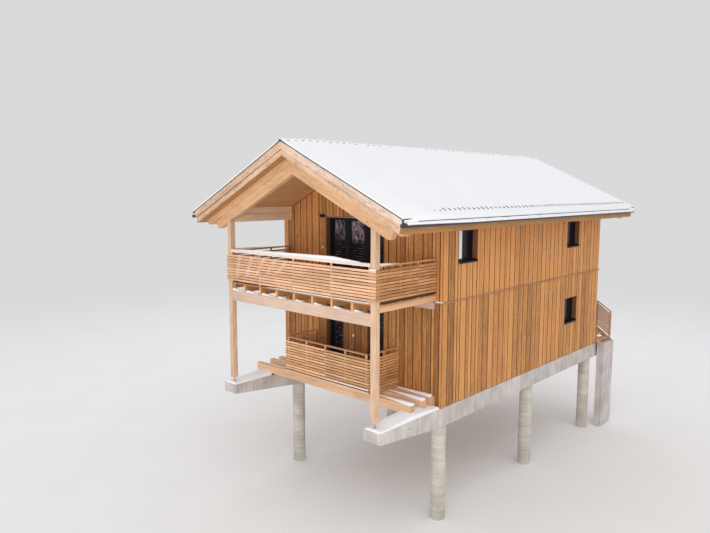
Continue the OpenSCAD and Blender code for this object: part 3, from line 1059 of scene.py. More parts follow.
@dataclass
class OpeningTrim:
    """The linings, sills and drip plates of all openings."""

    back: float = PLAN.door_recess - 0.002
    board: float = 0.02
    sill_reach: float = 0.035
    plate: float = 0.012

    def build(self) -> None:
        """Line each opening with boards, and give it a sill."""
        linings, sills = Shape(), Shape()
        for face, openings in OPENINGS.items():
            for opening in openings:
                self.line(linings, face, opening)
                self.sill(sills, face, opening)
        linings.piece("opening_linings", Finishes.LINING, "larch_wall")
        sills.piece("metal_sills", Finishes.FRAME, "dark_frame")

    def line(self, shape: Shape, face: Face, opening: Opening) -> None:
        """Put boards on the sides and the head of an opening.

        Args:
            shape: Takes the parts.
            face: The face that it is in.
            opening: The opening.
        """
        left, right, low, high = opening.left, opening.right, opening.low, opening.high
        for a, b, foot in (
            (left, left + self.board, low), (right - self.board, right, low),
            (left + self.board, right - self.board, high - self.board),
        ):
            shape.block((a, 0.001, foot), (b, self.back, high), 0.002, 0.4, face.place)

    def sill(self, shape: Shape, face: Face, opening: Opening) -> None:
        """Put a folded plate under a window, or a low sill plate into a doorway.

        Args:
            shape: Takes the parts.
            face: The face that it is in.
            opening: The opening.
        """
        left, right, low = opening.left + self.board, opening.right - self.board, opening.low
        if opening.is_door:
            shape.block((left, 0.03, low), (right, self.back, low + 0.022), 0.003, 0.5, face.place)
            return
        for a, near, foot, b, far, top in (
            (left, -self.sill_reach, low, right, self.back, low + self.plate),
            (left, -self.sill_reach, low - 0.045, right, 0.008 - self.sill_reach, low + 0.002),
            (left, -self.sill_reach, low, left + self.plate, self.back, low + 0.035),
            (right - self.plate, -self.sill_reach, low, right, self.back, low + 0.035),
        ):
            shape.block((a, near, foot), (b, far, top), 0.002, 0.5, face.place)


@dataclass
class StoreyBand:
    """The thin moulding at the upper floor's level, which goes round the house beside the balcony."""

    low: float = 3.165
    high: float = 3.205
    reach: float = 0.038
    inset: float = 0.03
    front_stub: float = 3.262

    def build(self) -> None:
        """Lay the moulding round the four faces."""
        shape = Shape()
        stop = HALF + self.reach
        spans = [(-stop, stop, LENGTH - self.inset, LENGTH + self.reach)]
        for side in SIDES:
            spans.append((side * self.front_stub, side * stop, -self.reach, self.inset))
            spans.append((side * (HALF - self.inset), side * stop, self.inset, LENGTH - self.inset))
        for left, right, near, far in spans:
            shape.block((left, near, self.low), (right, far, self.high), 0.006)
        shape.piece("storey_band", Finishes.BAND, "larch_wall")


# Roof


@dataclass
class Soffit:
    """The boards under the roof, which run along the ridge between the upper rafters."""

    board: float = 0.135
    gap: float = 0.004
    thickness: float = 0.012
    half_width: float = 4.19
    spread: float = 0.16
    rafters: Span = (-2.5, 11.52)

    def build(self) -> None:
        """Lay the boards on both slopes."""
        rng = random.Random(5)
        shape = Shape()
        top = PLAN.soffit_drop * PLAN.cos
        start = top * PLAN.sin / PLAN.cos + 0.01
        count = int((self.half_width / PLAN.cos + top * PLAN.sin / PLAN.cos - start) / self.board)
        front, rear = self.rafters
        for side in SIDES:
            for number in range(count):
                u = start + number * self.board
                over_house = u * PLAN.cos - top * PLAN.sin < HALF
                for low, high in [(front, 0.0), (LENGTH, rear)] if over_house else [(front, rear)]:
                    shape.block(
                        (u, low + 0.002, top),
                        (u + self.board - self.gap, high - 0.002, top + self.thickness),
                        0.002, 0.5 + rng.uniform(-self.spread, self.spread), slope_place(side),
                    )
        shape.piece("soffit_boards", Finishes.SOFFIT, "roof_timber")


@dataclass
class RoofSnow:
    """The snow on the two slopes, thin along the verges, and in the gutters."""

    half_width: float = 4.55
    covering: float = 0.04
    covering_half: float = 4.527
    verge_reach: float = 0.021
    verge_lip: float = 0.016
    thin: float = 0.022
    depth: float = 0.085
    cells: tuple[int, int] = (130, 170)
    gutter: Span = (4.452, 4.588)
    gutter_lip: float = 4.581

    def base(self, x: float, y: float) -> float:
        """Height of the metal covering, and lower where the snow hangs over its edges.

        Args:
            x: How far the place is to the right of the ridge.
            y: How far it is behind the front boards.

        Returns:
            The height above the beams' top.
        """
        front, rear = PLAN.roof_span
        hang = 0.0
        if min(y - front, rear - y) < -self.verge_lip:
            hang = 0.034 if x < 0 else 0.016
        if abs(x) > self.covering_half:
            hang = 0.078
        return PLAN.roof_z(x, -self.covering) + 0.002 + 0.012 * ease(0.3 - abs(x), 0.0, 0.2) - hang

    def thickness(self, x: float, y: float) -> float:
        """How deep the snow lies on a slope.

        Args:
            x: How far the place is to the right of the ridge.
            y: How far it is behind the front boards.

        Returns:
            The depth.
        """
        front, rear = PLAN.roof_span
        verge = min(y - front, rear - y)
        depth = self.thin + (self.depth - self.thin) * ease(verge, 0.02, 1.1)
        depth *= 0.62 + 0.38 * ease(abs(x), 0.0, 1.2)
        sag = 0.022 * ease(abs(x), 3.4, 4.1) * (1.0 + wobble(x, y, 0.55, 3.1))
        rolls = 0.014 * wobble(x * 0.6, y, 1.7, 7.7) + 0.006 * wobble(x, y, 0.35, 1.3)
        return depth + (sag + rolls) * ease(verge, 0.05, 0.7)

    def gutter_base(self, x: float, y: float) -> float:
        """Height of the gutter's bed and of its outer lip."""
        return 5.648 - 0.034 * ease(y, -3.0, 0.2) if abs(x) > self.gutter_lip else 5.6

    def gutter_depth(self, x: float, y: float) -> float:
        """How deep the snow lies in the gutter and on its lip."""
        return (0.055 if abs(x) > self.gutter_lip else 0.105) + 0.012 * wobble(x, y, 0.5, 9.0)

    def build(self) -> None:
        """Lay the snow on the roof and in the gutters."""
        shape = Shape()
        front, rear = PLAN.roof_span
        ends = (front - self.verge_reach, rear + self.verge_reach)
        shape.heap((-self.half_width, self.half_width), ends, self.base, self.thickness, self.cells, 0.028)
        for side in SIDES:
            inner, outer = self.gutter
            shape.heap(
                (side * inner, side * outer), (front + 0.09, rear - 0.09),
                self.gutter_base, self.gutter_depth, (8, 150), 0.02,
            )
        shape.piece("roof_snow", Finishes.SNOW, "dark_metal")


@dataclass
class RoofMetal:
    """Small metal parts of the roof: snow guards, ridge clips, flashings, gutter ends and gutter straps."""

    guard_x: float = 4.36
    guard_step: float = 0.235
    guard_span: Span = (-1.70, 0.7)
    guard_half: float = 0.008
    shallow_guards: float = -1.3
    clip_x: float = 0.13
    clip_step: float = 0.285
    verge: float = 0.06
    verge_step: float = 0.235
    verge_end: float = 4.52
    gutter: tuple[Span, Span] = ((4.441, 4.58), (5.57, 5.66))
    strap: float = 0.004
    strap_step: float = 0.8

    def build(self) -> None:
        """Make the parts."""
        rng = random.Random(11)
        shape, guards = Shape(), Shape()
        for side in SIDES:
            self.guards(guards, side, rng)
            self.gutter_parts(shape, side)
            self.flashings(shape, side)
        self.clips(guards, rng)
        shape.piece("roof_metal_parts", Finishes.SHEET, "dark_metal")
        guards.piece("snow_guards", Finishes.GUARD, "dark_metal")

    def guards(self, shape: Shape, side: int, rng: random.Random) -> None:
        """Set a row of snow guards above the eaves.

        Args:
            shape: Takes the parts.
            side: 1 for the right side and -1 for the left one.
            rng: The source of the random sizes.
        """
        run, place = self.guard_x / PLAN.cos, slope_place(side)
        for y in places(self.guard_span[0], PLAN.roof_span[1] - self.guard_span[1], self.guard_step):
            far = 0.02 if y < self.shallow_guards else rng.uniform(0.08, 0.14)
            low, high = y - self.guard_half, y + self.guard_half
            shape.block((run - far, low, -0.155), (run + 0.015, high, -0.138), 0.004, 0.5, place)
            shape.block((run - 0.02, low, -0.145), (run + 0.01, high, -0.04), 0.003, 0.5, place)

    def clips(self, shape: Shape, rng: random.Random) -> None:
        """Set clips along the ridge that stand out of the snow.

        Args:
            shape: Takes the parts.
            rng: The source of the random sizes.
        """
        snow = RoofSnow()
        front, rear = PLAN.roof_span
        for y in places(front + 0.19, rear - 0.2, self.clip_step):
            for x in (-self.clip_x, self.clip_x):
                reach = rng.uniform(0.02, 0.05)
                low = snow.base(x, y) + snow.thickness(x, y) - 0.03
                if y < 0.0 or rng.random() < 0.5:
                    shape.block((x - 0.012, y - reach, low), (x + 0.012, y + reach, low + 0.04), 0.004)

    def flashings(self, shape: Shape, side: int) -> None:
        """Close the roof's edges with folded sheet: ridge caps, verge strips and the eaves' drip, where the
        verge's flange and the drip are partly painted shadow, and a dark strip at the verge boards' step is
        painted shadow.

        Args:
            shape: Takes the parts.
            side: 1 for the right side and -1 for the left one.
        """
        front, rear = PLAN.roof_span
        place = slope_place(side)
        shape.block((side * 4.485, front - 0.034, 5.705), (side * 4.54, front - 0.003, 5.765))
        start, low = self.verge_step * PLAN.sin, self.verge_step * PLAN.cos
        for face, way in ((front, -1), (rear, 1)):
            if side > 0:
                cap = (-0.055, face + way * 0.002, PLAN.ridge - 0.03)
                shape.block(cap, (0.055, face + way * 0.03, PLAN.ridge + 0.035), 0.006)
            # The flange along the verge's top is the sheet's edge, made deep to carry the shadow under its
            # lip too: partly painted shadow.
            top = 0.011 if side > 0 else 0.009
            end = (self.verge_end / PLAN.cos, face + way * 0.006, top)
            shape.block((0.0, face, -0.002), end, 0.001, 0.5, place)
            # A dark strip at the step between the two verge boards: painted shadow under the upper board's
            # lower edge.
            end = ((self.verge_end - 0.03) / PLAN.cos, face - way * (self.verge / 2 - 0.008), low + 0.011)
            shape.block((start, face - way * (self.verge / 2 - 0.001), low), end, 0.001, 0.5, place)
        # The eaves' drip edge, a dark strip that also stands for the shadow in the gap between the roof's
        # snow and the gutter's: partly painted shadow.
        shape.block((side * 4.50, front + 0.55, 5.708), (side * 4.556, rear - 0.55, 5.726), 0.001)

    def gutter_parts(self, shape: Shape, side: int) -> None:
        """Close a gutter's ends and strap it to the roof.

        Args:
            shape: Takes the parts.
            side: 1 for the right side and -1 for the left one.
        """
        front, rear = PLAN.roof_span
        (inner, outer), (low, high) = self.gutter
        for start, end in ((front - 0.035, front + 0.064), (rear - 0.064, rear - 0.060)):
            corner = (side * (inner - 0.002), start, low - 0.002)
            shape.block(corner, (side * (outer + 0.002), end, high + 0.002), 0.001)
        for y in places(front + 0.5, rear - 0.3, self.strap_step):
            shape.block((side * inner, y, low - self.strap), (side * outer, y + 0.03, low - 0.0002), 0.001)
            corner = (side * outer, y, low - self.strap)
            shape.block(corner, (side * (outer + self.strap), y + 0.03, high + self.strap), 0.001)


# Balconies


@dataclass(frozen=True)
class Rail:
    """A slatted rail along x with its slats at the front: slats, uprights, a handrail and screws."""

    length: float
    slats: Span
    count: int
    handrail: float
    foot: float
    uprights: tuple[float, ...]
    reach: Span
    joints: tuple[float, ...] = ()
    slat: Span = (0.024, 0.065)
    slat_gap: float = 0.002
    own_tone: float = 0.3
    screw: float = 0.0045
    upright: float = 0.05
    handrail_thickness: float = 0.045

    def build(self, wood: Shape, cap: Shape, screws: Shape, place: Matrix, rng: random.Random) -> None:
        """Make the rail.

        Args:
            wood: Takes the slats and uprights.
            cap: Takes the handrail.
            screws: Takes the screw heads.
            place: Where the rail goes, in the house's measure.
            rng: The source of the boards' tones.
        """
        thick, tall = self.slat
        pitch = (self.slats[1] - self.slats[0] - tall) / (self.count - 1)
        marks = (0.0, *self.joints, self.length)
        tones = [rng.uniform(0.3, 0.7) for _ in marks]
        for number in range(self.count):
            z = self.slats[0] + number * pitch
            for panel, (start, end) in enumerate(zip(marks, marks[1:])):
                tone = min(max(tones[panel] + rng.uniform(-self.own_tone, self.own_tone), 0.0), 1.0)
                far = (end - self.slat_gap, thick, z + tall)
                wood.block((start + self.slat_gap, 0.0, z), far, 0.003, tone, place)
            middle = z + tall / 2
            for x in self.uprights:
                screws.rod((x, -0.0015, middle), (x, 0.004, middle), self.screw, sides=8, place=place)
        half = self.upright / 2
        for x in self.uprights:
            head = (x + half, thick + self.upright, self.handrail - 0.02)
            wood.block((x - half, thick, self.foot), head, 0.004, rng.uniform(0.3, 0.6), place)
        low = (self.reach[0], thick - 0.01, self.handrail - self.handrail_thickness)
        cap.block(low, (self.reach[1], thick + self.upright + 0.02, self.handrail), 0.006, 0.55, place)


@dataclass(frozen=True)
class Deck:
    """A floor of boards laid along x."""

    x: Span
    y: Span
    z: Span
    board: float = 0.138
    gap: float = 0.006
    joint: float = 0.0

    def build(self, shape: Shape, rng: random.Random) -> None:
        """Lay the boards.

        Args:
            shape: Takes the boards.
            rng: The source of their tones and joints.
        """
        width = self.y[1] - self.y[0]
        count = max(1, round(width / self.board))
        step = (width + self.gap) / count
        for number in range(count):
            y = self.y[0] + number * step
            marks = list(self.x)
            if self.joint:
                marks.insert(1, self.joint * rng.choice((-2, -1, 1, 2)))
            for start, end in zip(marks, marks[1:]):
                far = (end - 0.001, y + step - self.gap, self.z[1])
                shape.block((start + 0.001, y, self.z[0]), far, 0.003, rng.random())


@dataclass
class Balcony:
    """What the two balconies share: a front rail and two side rails that meet at its corners."""

    half: float
    front: float

    @property
    def depth(self) -> float:
        """Length of a side rail."""
        return -self.front - 0.028

    def rails(
        self, storey: str, front: Rail, side: Rail, finishes: tuple[Timber, Timber], rng: random.Random
    ) -> None:
        """Make the three rails.

        Args:
            storey: What the pieces' names start with.
            front: The front rail.
            side: The rail of each side.
            finishes: The finishes of the front slats and the handrail.
            rng: The source of the boards' tones.
        """
        wood, cap, sides, screws = Shape(), Shape(), Shape(), Shape()
        front.build(wood, cap, screws, Matrix.Translation((-self.half, self.front, 0.0)), rng)
        turn = Matrix.Translation((self.half, -self.depth, 0.0)) @ Matrix.Rotation(math.pi / 2, 4, "Z")
        for flip in (1, -1):
            side.build(sides, sides, screws, Matrix.Diagonal((flip, 1, 1, 1)) @ turn, rng)
        slats, handrail = finishes
        wood.piece(f"{storey}_front_rail_boards", slats, "light_timber", stands_for=(f"{storey}_front_rail",))
        cap.piece(f"{storey}_handrail", handrail, "light_timber")
        sides.piece(
            f"{storey}_side_rail_boards", Finishes.SHADED_SIDE_SLAT, "light_timber",
            stands_for=(f"{storey}_side_rails",),
        )
        screws.piece(f"{storey}_rail_screws", Finishes.STEEL, "dark_metal")


@dataclass
class UpperBalcony(Balcony):
    """The porch's balcony: its deck boards, its front rail and its two side rails."""

    half: float = 3.285
    front: float = -2.712
    slats: Span = (3.532, 4.385)
    deck: Span = (3.43, 3.47)
    handrail: float = 4.56
    side_handrail: float = 4.5
    post_inner: float = 3.07
    post_back: float = -2.5
    joist_step: float = 0.797
    post_gap: float = 0.002

    def build(self) -> None:
        """Make the deck and the rails."""
        rng = random.Random(21)
        deck = Shape()
        between = self.post_inner - self.post_gap
        Deck((-between, between), (-2.67, -2.498), self.deck).build(deck, rng)
        Deck((-3.188, 3.188), (-2.496, 0.0), self.deck, joint=self.joist_step).build(deck, rng)
        deck.piece("upper_deck_boards", Finishes.DECK, "light_timber", stands_for=("upper_balcony_deck",))
        front = Rail(
            2 * self.half, self.slats, 10, self.handrail, self.deck[1],
            tuple(self.half + x for x in (-3.03, -1.594, 0.0, 1.594, 3.03)),
            (self.half - between, self.half + between), (self.half - 1.594, self.half, self.half + 1.594),
            handrail_thickness=0.095,
        )
        side = Rail(
            self.depth, self.slats, 10, self.side_handrail, self.deck[0],
            tuple(self.depth + y for y in (-2.43, -1.64, -0.85, -0.06)),
            (self.depth + self.post_back + self.post_gap, self.depth - 0.002), (self.depth - 0.85,),
        )
        self.rails("upper", front, side, (Finishes.SLAT, Finishes.HANDRAIL), rng)


@dataclass
class LowerBalcony(Balcony):
    """The small balcony between the cross beams and the lower doors."""

    half: float = 1.88
    front: float = -1.41
    slats: Span = (0.51, 1.475)
    deck: Span = (0.46, 0.5)
    handrail: float = 1.625
    rail_inset: float = 0.1

    def build(self) -> None:
        """Make the deck and the rails."""
        rng = random.Random(31)
        deck, edge = Shape(), Shape()
        ends = (-self.half - 0.06, self.half + 0.01)
        Deck(ends, (self.front + 0.03, -0.02), self.deck).build(deck, rng)
        deck.piece("lower_deck_boards", Finishes.DECK, "light_timber", stands_for=("lower_balcony_deck",))
        edge.block((ends[0], self.front, 0.405), (ends[1], self.front + 0.028, 0.476), 0.003, 0.6)
        edge.piece("lower_deck_edge", Finishes.CROSS, "light_timber")
        front = Rail(
            2 * self.half, self.slats, 11, self.handrail, self.deck[1],
            tuple(self.half + x for x in (-1.75, -0.875, 0.0, 0.875, 1.75)),
            (self.rail_inset, 2 * self.half - self.rail_inset), (self.half,),
        )
        side = Rail(
            self.depth, self.slats, 11, self.handrail, self.deck[1],
            tuple(self.depth + y for y in (-1.25, -0.66, -0.06)), (self.rail_inset, self.depth - 0.002),
        )
        self.rails("lower", front, side, (Finishes.LOWER_SLAT, Finishes.LOWER_HANDRAIL), rng)


@dataclass
class Supports:
    """The roof posts on their steel pins, and the round columns under the concrete beams."""

    post: float = 0.18
    post_outer: float = 3.25
    post_front: float = -2.68
    rafter_drop: float = 0.949
    pin_height: float = 0.2
    plate: float = 0.012
    bolt_offset: float = 0.036
    column: float = 0.225
    column_top: float = -0.575
    column_rows: tuple[float, ...] = (0.35, 5.85, 10.95)

    def build(self) -> None:
        """Make the posts, their feet and the columns."""
        posts, feet, columns = Shape(), Shape(), Shape()
        inner = self.post_outer - self.post
        for side, tone in ((-1, 0.42), (1, 0.36)):
            cut = (
                Vector((0.0, 0.0, PLAN.ridge - self.rafter_drop)), Vector((side * PLAN.roof_tan, 0.0, 1.0)))
            head = (side * self.post_outer, self.post_front + self.post, PLAN.ridge - 2.0)
            posts.block((side * inner, self.post_front, self.pin_height), head, 0.007, tone, cuts=(cut,))
            self.foot(feet, side * (inner + self.post_outer) / 2, self.post_front + self.post / 2)
            centre = side * (HALF - 0.3)
            for row in self.column_rows:
                head = (centre, row, self.column_top)
                columns.rod((centre, row, -PLAN.datum), head, self.column, sides=96, edge=0.006)
        posts.piece("roof_posts", Finishes.POST, "light_timber", stands_for=("posts",))
        feet.piece("post_feet", Finishes.STEEL, "dark_metal")
        columns.piece("round_columns", Finishes.CONCRETE, "concrete", stands_for=("columns",))

    def foot(self, shape: Shape, x: float, y: float) -> None:
        """Put a pin with two plates, a nut and four bolts under a post.

        Args:
            shape: Takes the parts.
            x: How far the place is to the right of the ridge.
            y: How far it is behind the front boards.
        """
        for low, high, radius, sides, edge in (
            (self.plate, self.pin_height, 0.02, 24, 0.0), (0.0, self.plate, 0.065, 24, 0.003),
            (self.pin_height - self.plate, self.pin_height, 0.06, 24, 0.003), (0.07, 0.1, 0.032, 6, 0.002),
        ):
            shape.rod((x, y, low), (x, y, high), radius, sides=sides, edge=edge)
        for dx in SIDES:
            for dy in SIDES:
                bolt = (x + dx * self.bolt_offset, y + dy * self.bolt_offset)
                shape.rod((*bolt, 0.01), (*bolt, 0.022), 0.008, sides=6)


@dataclass
class BalconySnow:
    """The snow on the rails, the edge beam, the cross beams and the concrete beams' tips."""

    handrail: float = 4.56
    side_handrail: float = 4.5
    joist_step: float = 0.797
    cross_beams_at: tuple[Span, ...] = ((-1.2, 2.0), (-0.61, 1.75), (-0.2, 1.6))
    cross_top: float = 0.34
    crest: tuple[Span, ...] = (
        (-3.06, 0.004), (-2.76, 0.009), (-2.0, 0.036), (0.0, 0.07), (1.65, 0.095), (2.2, 0.05), (2.75, 0.008),
    )

    def build(self) -> None:
        """Lay the snow."""
        shape = Shape()
        for lay in (self.rails, self.edge_beam, self.cross_beams, self.concrete):
            lay(shape)
        shape.piece("balcony_snow", Finishes.SNOW, "dark_metal")

    def rails(self, shape: Shape) -> None:
        """Lay it on the handrails, the deck's front edge, the front rail's corner and the lower rail's foot.

        Args:
            shape: Takes the parts.
        """
        shape.heap(
            (-3.062, 2.66), (-2.704, -2.612), self.handrail,
            lambda x, y: along(x, self.crest) + 0.005 * wobble(x, y, 0.3, 2.0), (140, 8), 0.045,
        )
        for start, end, deep, side in ((-2.49, -1.7, 0.045, 1), (-2.48, -0.4, 0.05, -1)):
            shape.heap(
                (side * 3.168, side * 3.272), (start, end), self.side_handrail,
                lambda x, y: deep * (1.0 - ease(y, start + 0.1, end)) + 0.01, (8, 50), 0.04,
            )
        shape.heap(
            (-1.25, 3.06), (-2.674, -2.6), 3.47,
            lambda x, y: 0.008 + 0.022 * ease(x, -1.25, -0.6) + 0.005 * wobble(x, y, 0.3, 5.0),
            (110, 6), 0.02,
        )
        shape.heap(
            (3.005, 3.284), (-2.711, -2.688), 4.385,
            lambda x, y: 0.035 * ease(x, 3.0, 3.12) + 0.006, (16, 5), 0.02,
        )
        shape.heap(
            (-0.9, 1.86), (-1.417, -1.392), 0.524,
            lambda x, y: 0.004 + 0.028 * ease(x + 1.2 * wobble(x, y, 0.22, 6.0), -0.7, 1.4), (140, 5), 0.01,
        )

    def edge_beam(self, shape: Shape) -> None:
        """Lay a wedge at the left of each gap between the joists, on the beam over the posts.

        Args:
            shape: Takes the parts.
        """
        rng = random.Random(41)
        marks = [-3.11, *(k * self.joist_step for k in range(-3, 4)), 3.11]
        for number, (left, right) in enumerate(zip(marks, marks[1:])):
            start = left + 0.045
            end = start + (right - left - 0.09) * (0.9 if number < 3 else rng.uniform(0.38, 0.5))
            peak = rng.uniform(0.055, 0.075) if number < 3 else rng.uniform(0.035, 0.05)

            def wedge(x: float, y: float) -> float:
                """How deep the wedge is."""
                fall = 1.0 - (x - start) / (end - start)
                return 0.008 + peak * fall**1.3 + 0.006 * wobble(x, y, 0.12, 8.0)

            shape.heap((start, end), (-2.655, -2.545), 3.2, wedge, (30, 6), 0.03)

    def cross_beams(self, shape: Shape) -> None:
        """Lay a wedge on the back of each cross beam, wider towards its right end.

        Args:
            shape: Takes the parts.
        """
        for number, (y, start) in enumerate(self.cross_beams_at):
            back = y + 0.18
            shape.heap(
                (start, 3.305 - 0.04 * number),
                lambda x: (back - (0.035 + 0.135 * ease(x, start, 3.2)), back), self.cross_top,
                lambda x, y: 0.02 + 0.05 * ease(x, start, 3.1) + 0.008 * wobble(x, y, 0.12, 3.0),
                (60, 8), 0.035,
            )
            shape.heap(
                (-3.68, -2.1 - 0.2 * number), (back - 0.06, back), self.cross_top,
                lambda x, y: 0.012 + 0.008 * wobble(x, y, 0.2, 1.0), (50, 6), 0.03,
            )

    def concrete(self, shape: Shape) -> None:
        """Lay a mound on each concrete beam in front of the house, and some on the storey band's corner.

        Args:
            shape: Takes the parts.
        """

        def mound(x: float, y: float) -> float:
            """How deep the mound is."""
            rise = 0.05 + 0.10 * ease(y, -2.6, -1.35) - 0.05 * ease(y, -0.9, -0.2)
            return rise * (1.0 - 0.25 * ease(abs(x), HALF - 0.35, HALF)) + 0.012 * wobble(x, y, 0.25, 2.5)

        for side in SIDES:
            shape.heap(
                (side * (HALF - 0.59), side * (HALF - 0.015)), (-2.735, -0.03), 0.0, mound, (26, 90), 0.06)
            shape.heap((side * 3.27, side * (HALF + 0.036)), (-0.037, -0.002), 3.205, 0.035, (12, 5), 0.03)


# Fittings


@dataclass
class Fittings:
    """Lamps, sockets, handles and the other small things on the walls and doors."""

    recess: float = PLAN.door_recess
    lever_height: float = 1.55
    handle_reach: float = 0.045
    plugs_at: tuple[float, ...] = (-1.48, 1.6, 4.6, 7.6, 10.6)

    def build(self) -> None:
        """Make the fittings."""
        self.lamps()
        self.white_parts()
        self.handles()
        self.concrete_plugs()
        self.strips()

    def strips(self) -> None:
        """Dark strips of painted shadow on the eaves beams, under the side rails and on the lower deck's
        edge, and the metal strip over the door.
        """
        shadow_strips, brown_shadow_strips, metal = Shape(), Shape(), Shape()
        # Painted shadow: near-black strips in the joint above each eaves beam, and brown ones under each side
        # rail's lowest slat, where these joints lie in shade.
        for side in SIDES:
            shadow_strips.block((side * 3.074, -2.498, 5.679), (side * 3.246, 0.02, 5.690), 0.001)
            brown_shadow_strips.block((side * 3.2595, -2.49, 3.458), (side * 3.2645, -0.004, 3.524), 0.001)
        # Painted shadow: a near-black strip in the gap between the lower deck's edge and its rail's lowest
        # slat.
        shadow_strips.block((-1.935, -1.386, 0.474), (1.885, -1.381, 0.508), 0.001)
        metal.block((-1.31, 0.012, 5.575), (1.23, 0.03, 5.602), 0.002)
        shadow_strips.piece("joint_shadow_strips", Finishes.PADS, "dark_metal")
        brown_shadow_strips.piece("side_rail_shadow_strips", Finishes.SHADOW_BROWN, "light_timber")
        metal.piece("door_head_strip", Finishes.STRIP, "dark_metal")

    def lamps(self) -> None:
        """Two dark wall lamps: one beside the upper door's head, and one beside the entrance."""
        shape = Shape()
        for low, high, edge in (
            ((-1.56, -0.085, 5.575), (-1.38, -0.004, 5.67), 0.008),
            ((-1.525, -0.004, 5.595), (-1.415, 0.004, 5.65), 0.002),
            ((-1.545, -0.075, 5.567), (-1.395, -0.015, 5.577), 0.003),
            ((0.86, LENGTH - 0.002, 2.25), (0.98, LENGTH + 0.09, 2.42), 0.008),
            ((0.81, LENGTH - 0.012, 2.28), (1.03, LENGTH, 2.39), 0.003),
        ):
            shape.block(low, high, edge)
        shape.piece("wall_lamps", Finishes.FRAME, "dark_frame")

    def white_parts(self) -> None:
        """Round sockets on the front wall, and the white guide beside the first side window."""
        shape, foot = Shape(), Shape()
        for x, z in ((-1.49, 4.55), (-0.05, 1.68)):
            shape.rod((x, 0.004, z), (x, -0.022, z), 0.045, edge=0.006)
            shape.rod((x, -0.02, z), (x, -0.034, z), 0.028, edge=0.004)
        for low, high, edge in (
            ((0.812, 0.012, 4.43), (0.992, 0.045, 5.285), 0.004),
            ((0.826, 0.008, 4.445), (0.838, 0.014, 5.27), 0.002),
            ((0.966, 0.008, 4.445), (0.978, 0.014, 5.27), 0.002),
        ):
            shape.block(low, high, edge, 0.5, Face.RIGHT.place)
        shape.piece("white_fittings", Finishes.WHITE, "dark_frame")
        foot.block((0.812, -0.012, 4.345), (1.03, 0.06, 4.43), 0.008, 0.5, Face.RIGHT.place)
        foot.piece("window_guide_foot", Finishes.FRAME, "dark_frame")

    def handles(self) -> None:
        """Levers on the two hinged doors, a pull on the upper door, and a lever on the entrance."""
        for name, x, length in (("left", -0.63, -0.12), ("right", 0.67, 0.12)):
            shape = Shape()
            self.lever(shape, (x, self.recess + 0.005), -self.handle_reach, length, 0.026, 0.009, 0.001)
            shape.piece(f"{name}_door_handle", Finishes.STEEL, "dark_metal", f"{name}_balcony_door")
        shape = Shape()
        x, y, z = -0.48, self.recess - self.handle_reach, 4.5
        shape.rod((x, y, z - 0.16), (x, y, z + 0.16), 0.011, edge=0.003)
        for height in (z - 0.12, z + 0.12):
            shape.rod((x, self.recess, height), (x, y, height), 0.008)
        self.lever(shape, (2.08, LENGTH - self.recess), 0.05, -0.13, 0.028, 0.01, 0.0)
        shape.piece("fixed_door_handles", Finishes.SHEET, "dark_metal")

    def lever(
        self, shape: Shape, at: Span, reach: float, length: float, rose: float, radius: float,
        neck_edge: float,
    ) -> None:
        """Put in a rose, a neck and a lever along x.

        Args:
            shape: Takes the parts.
            at: Where the rose lies on its door.
            reach: How far the lever is from the door, with the sign of the way out.
            length: How long the lever is, with the sign of its way.
            rose: Radius of the rose.
            radius: Radius of the neck and the lever.
            neck_edge: How wide the neck's eased rims are.
        """
        (x, y), z, way = at, self.lever_height, math.copysign(1.0, reach)
        shape.rod((x, y, z), (x, y + way * 0.008, z), rose, edge=0.002)
        shape.rod((x, y + way * 0.006, z), (x, y + reach, z), radius, edge=neck_edge)
        shape.rod((x, y + reach, z), (x + length, y + reach, z), radius, edge=0.003)

    def concrete_plugs(self) -> None:
        """The plugs of the formwork's tie holes on the concrete beams' sides."""
        shape = Shape()
        for side in SIDES:
            for y in self.plugs_at:
                for x, way in ((HALF - 0.6, -1), (HALF, 1)):
                    head = (side * (x + way * 0.002), y, -0.2)
                    shape.rod((side * (x - way * 0.01), y, -0.2), head, 0.024, 0.018, sides=16)
        shape.piece("tie_hole_plugs", Finishes.PADS, "concrete")


@dataclass
class RearEntrance:
    """The landing's boards and bearers in front of the entrance, with the snow that lies on them."""

    x: Span = (0.5, 3.15)
    y: Span = (11.275, 12.42)
    top: float = 0.48
    board: float = 0.04
    bearers: int = 5

    def build(self) -> None:
        """Make the landing and its snow."""
        rng = random.Random(51)
        shape, snow = Shape(), Shape()
        Deck(self.x, (self.y[0] + 0.03, self.y[1]), (self.top - self.board, self.top)).build(shape, rng)
        for number in range(self.bearers):
            x = self.x[0] + 0.01 + number * (self.x[1] - self.x[0] - 0.1) / (self.bearers - 1)
            shape.block((x, self.y[0], 0.34), (x + 0.08, self.y[1] - 0.02, self.top - self.board), 0.004, 0.4)
        shape.piece("landing_boards", Finishes.DECK, "light_timber", stands_for=("rear_landing",))
        snow.heap(
            (0.62, 3.05), (12.0, 12.33), self.top,
            lambda x, y: 0.03 + 0.05 * ease(y, 11.95, 12.3) + 0.01 * wobble(x, y, 0.3, 2.0), (50, 14), 0.08,
        )
        snow.heap(
            (0.56, 3.08), (12.42, 12.5), 1.625,
            lambda x, y: 0.05 + 0.01 * wobble(x, y, 0.3, 2.0), (70, 6), 0.04,
        )
        for side in SIDES:
            snow.heap((side * (3.28 - 0.35), side * 3.28), (12.36, 12.42), 0.0, 0.05, (12, 6), 0.03)
        snow.heap(
            (-3.25, 0.45), (12.17, 12.335), 0.34,
            lambda x, y: 0.05 + 0.01 * wobble(x, y, 0.3, 7.0), (90, 8), 0.045,
        )
        snow.piece("rear_snow", Finishes.SNOW, "dark_metal")


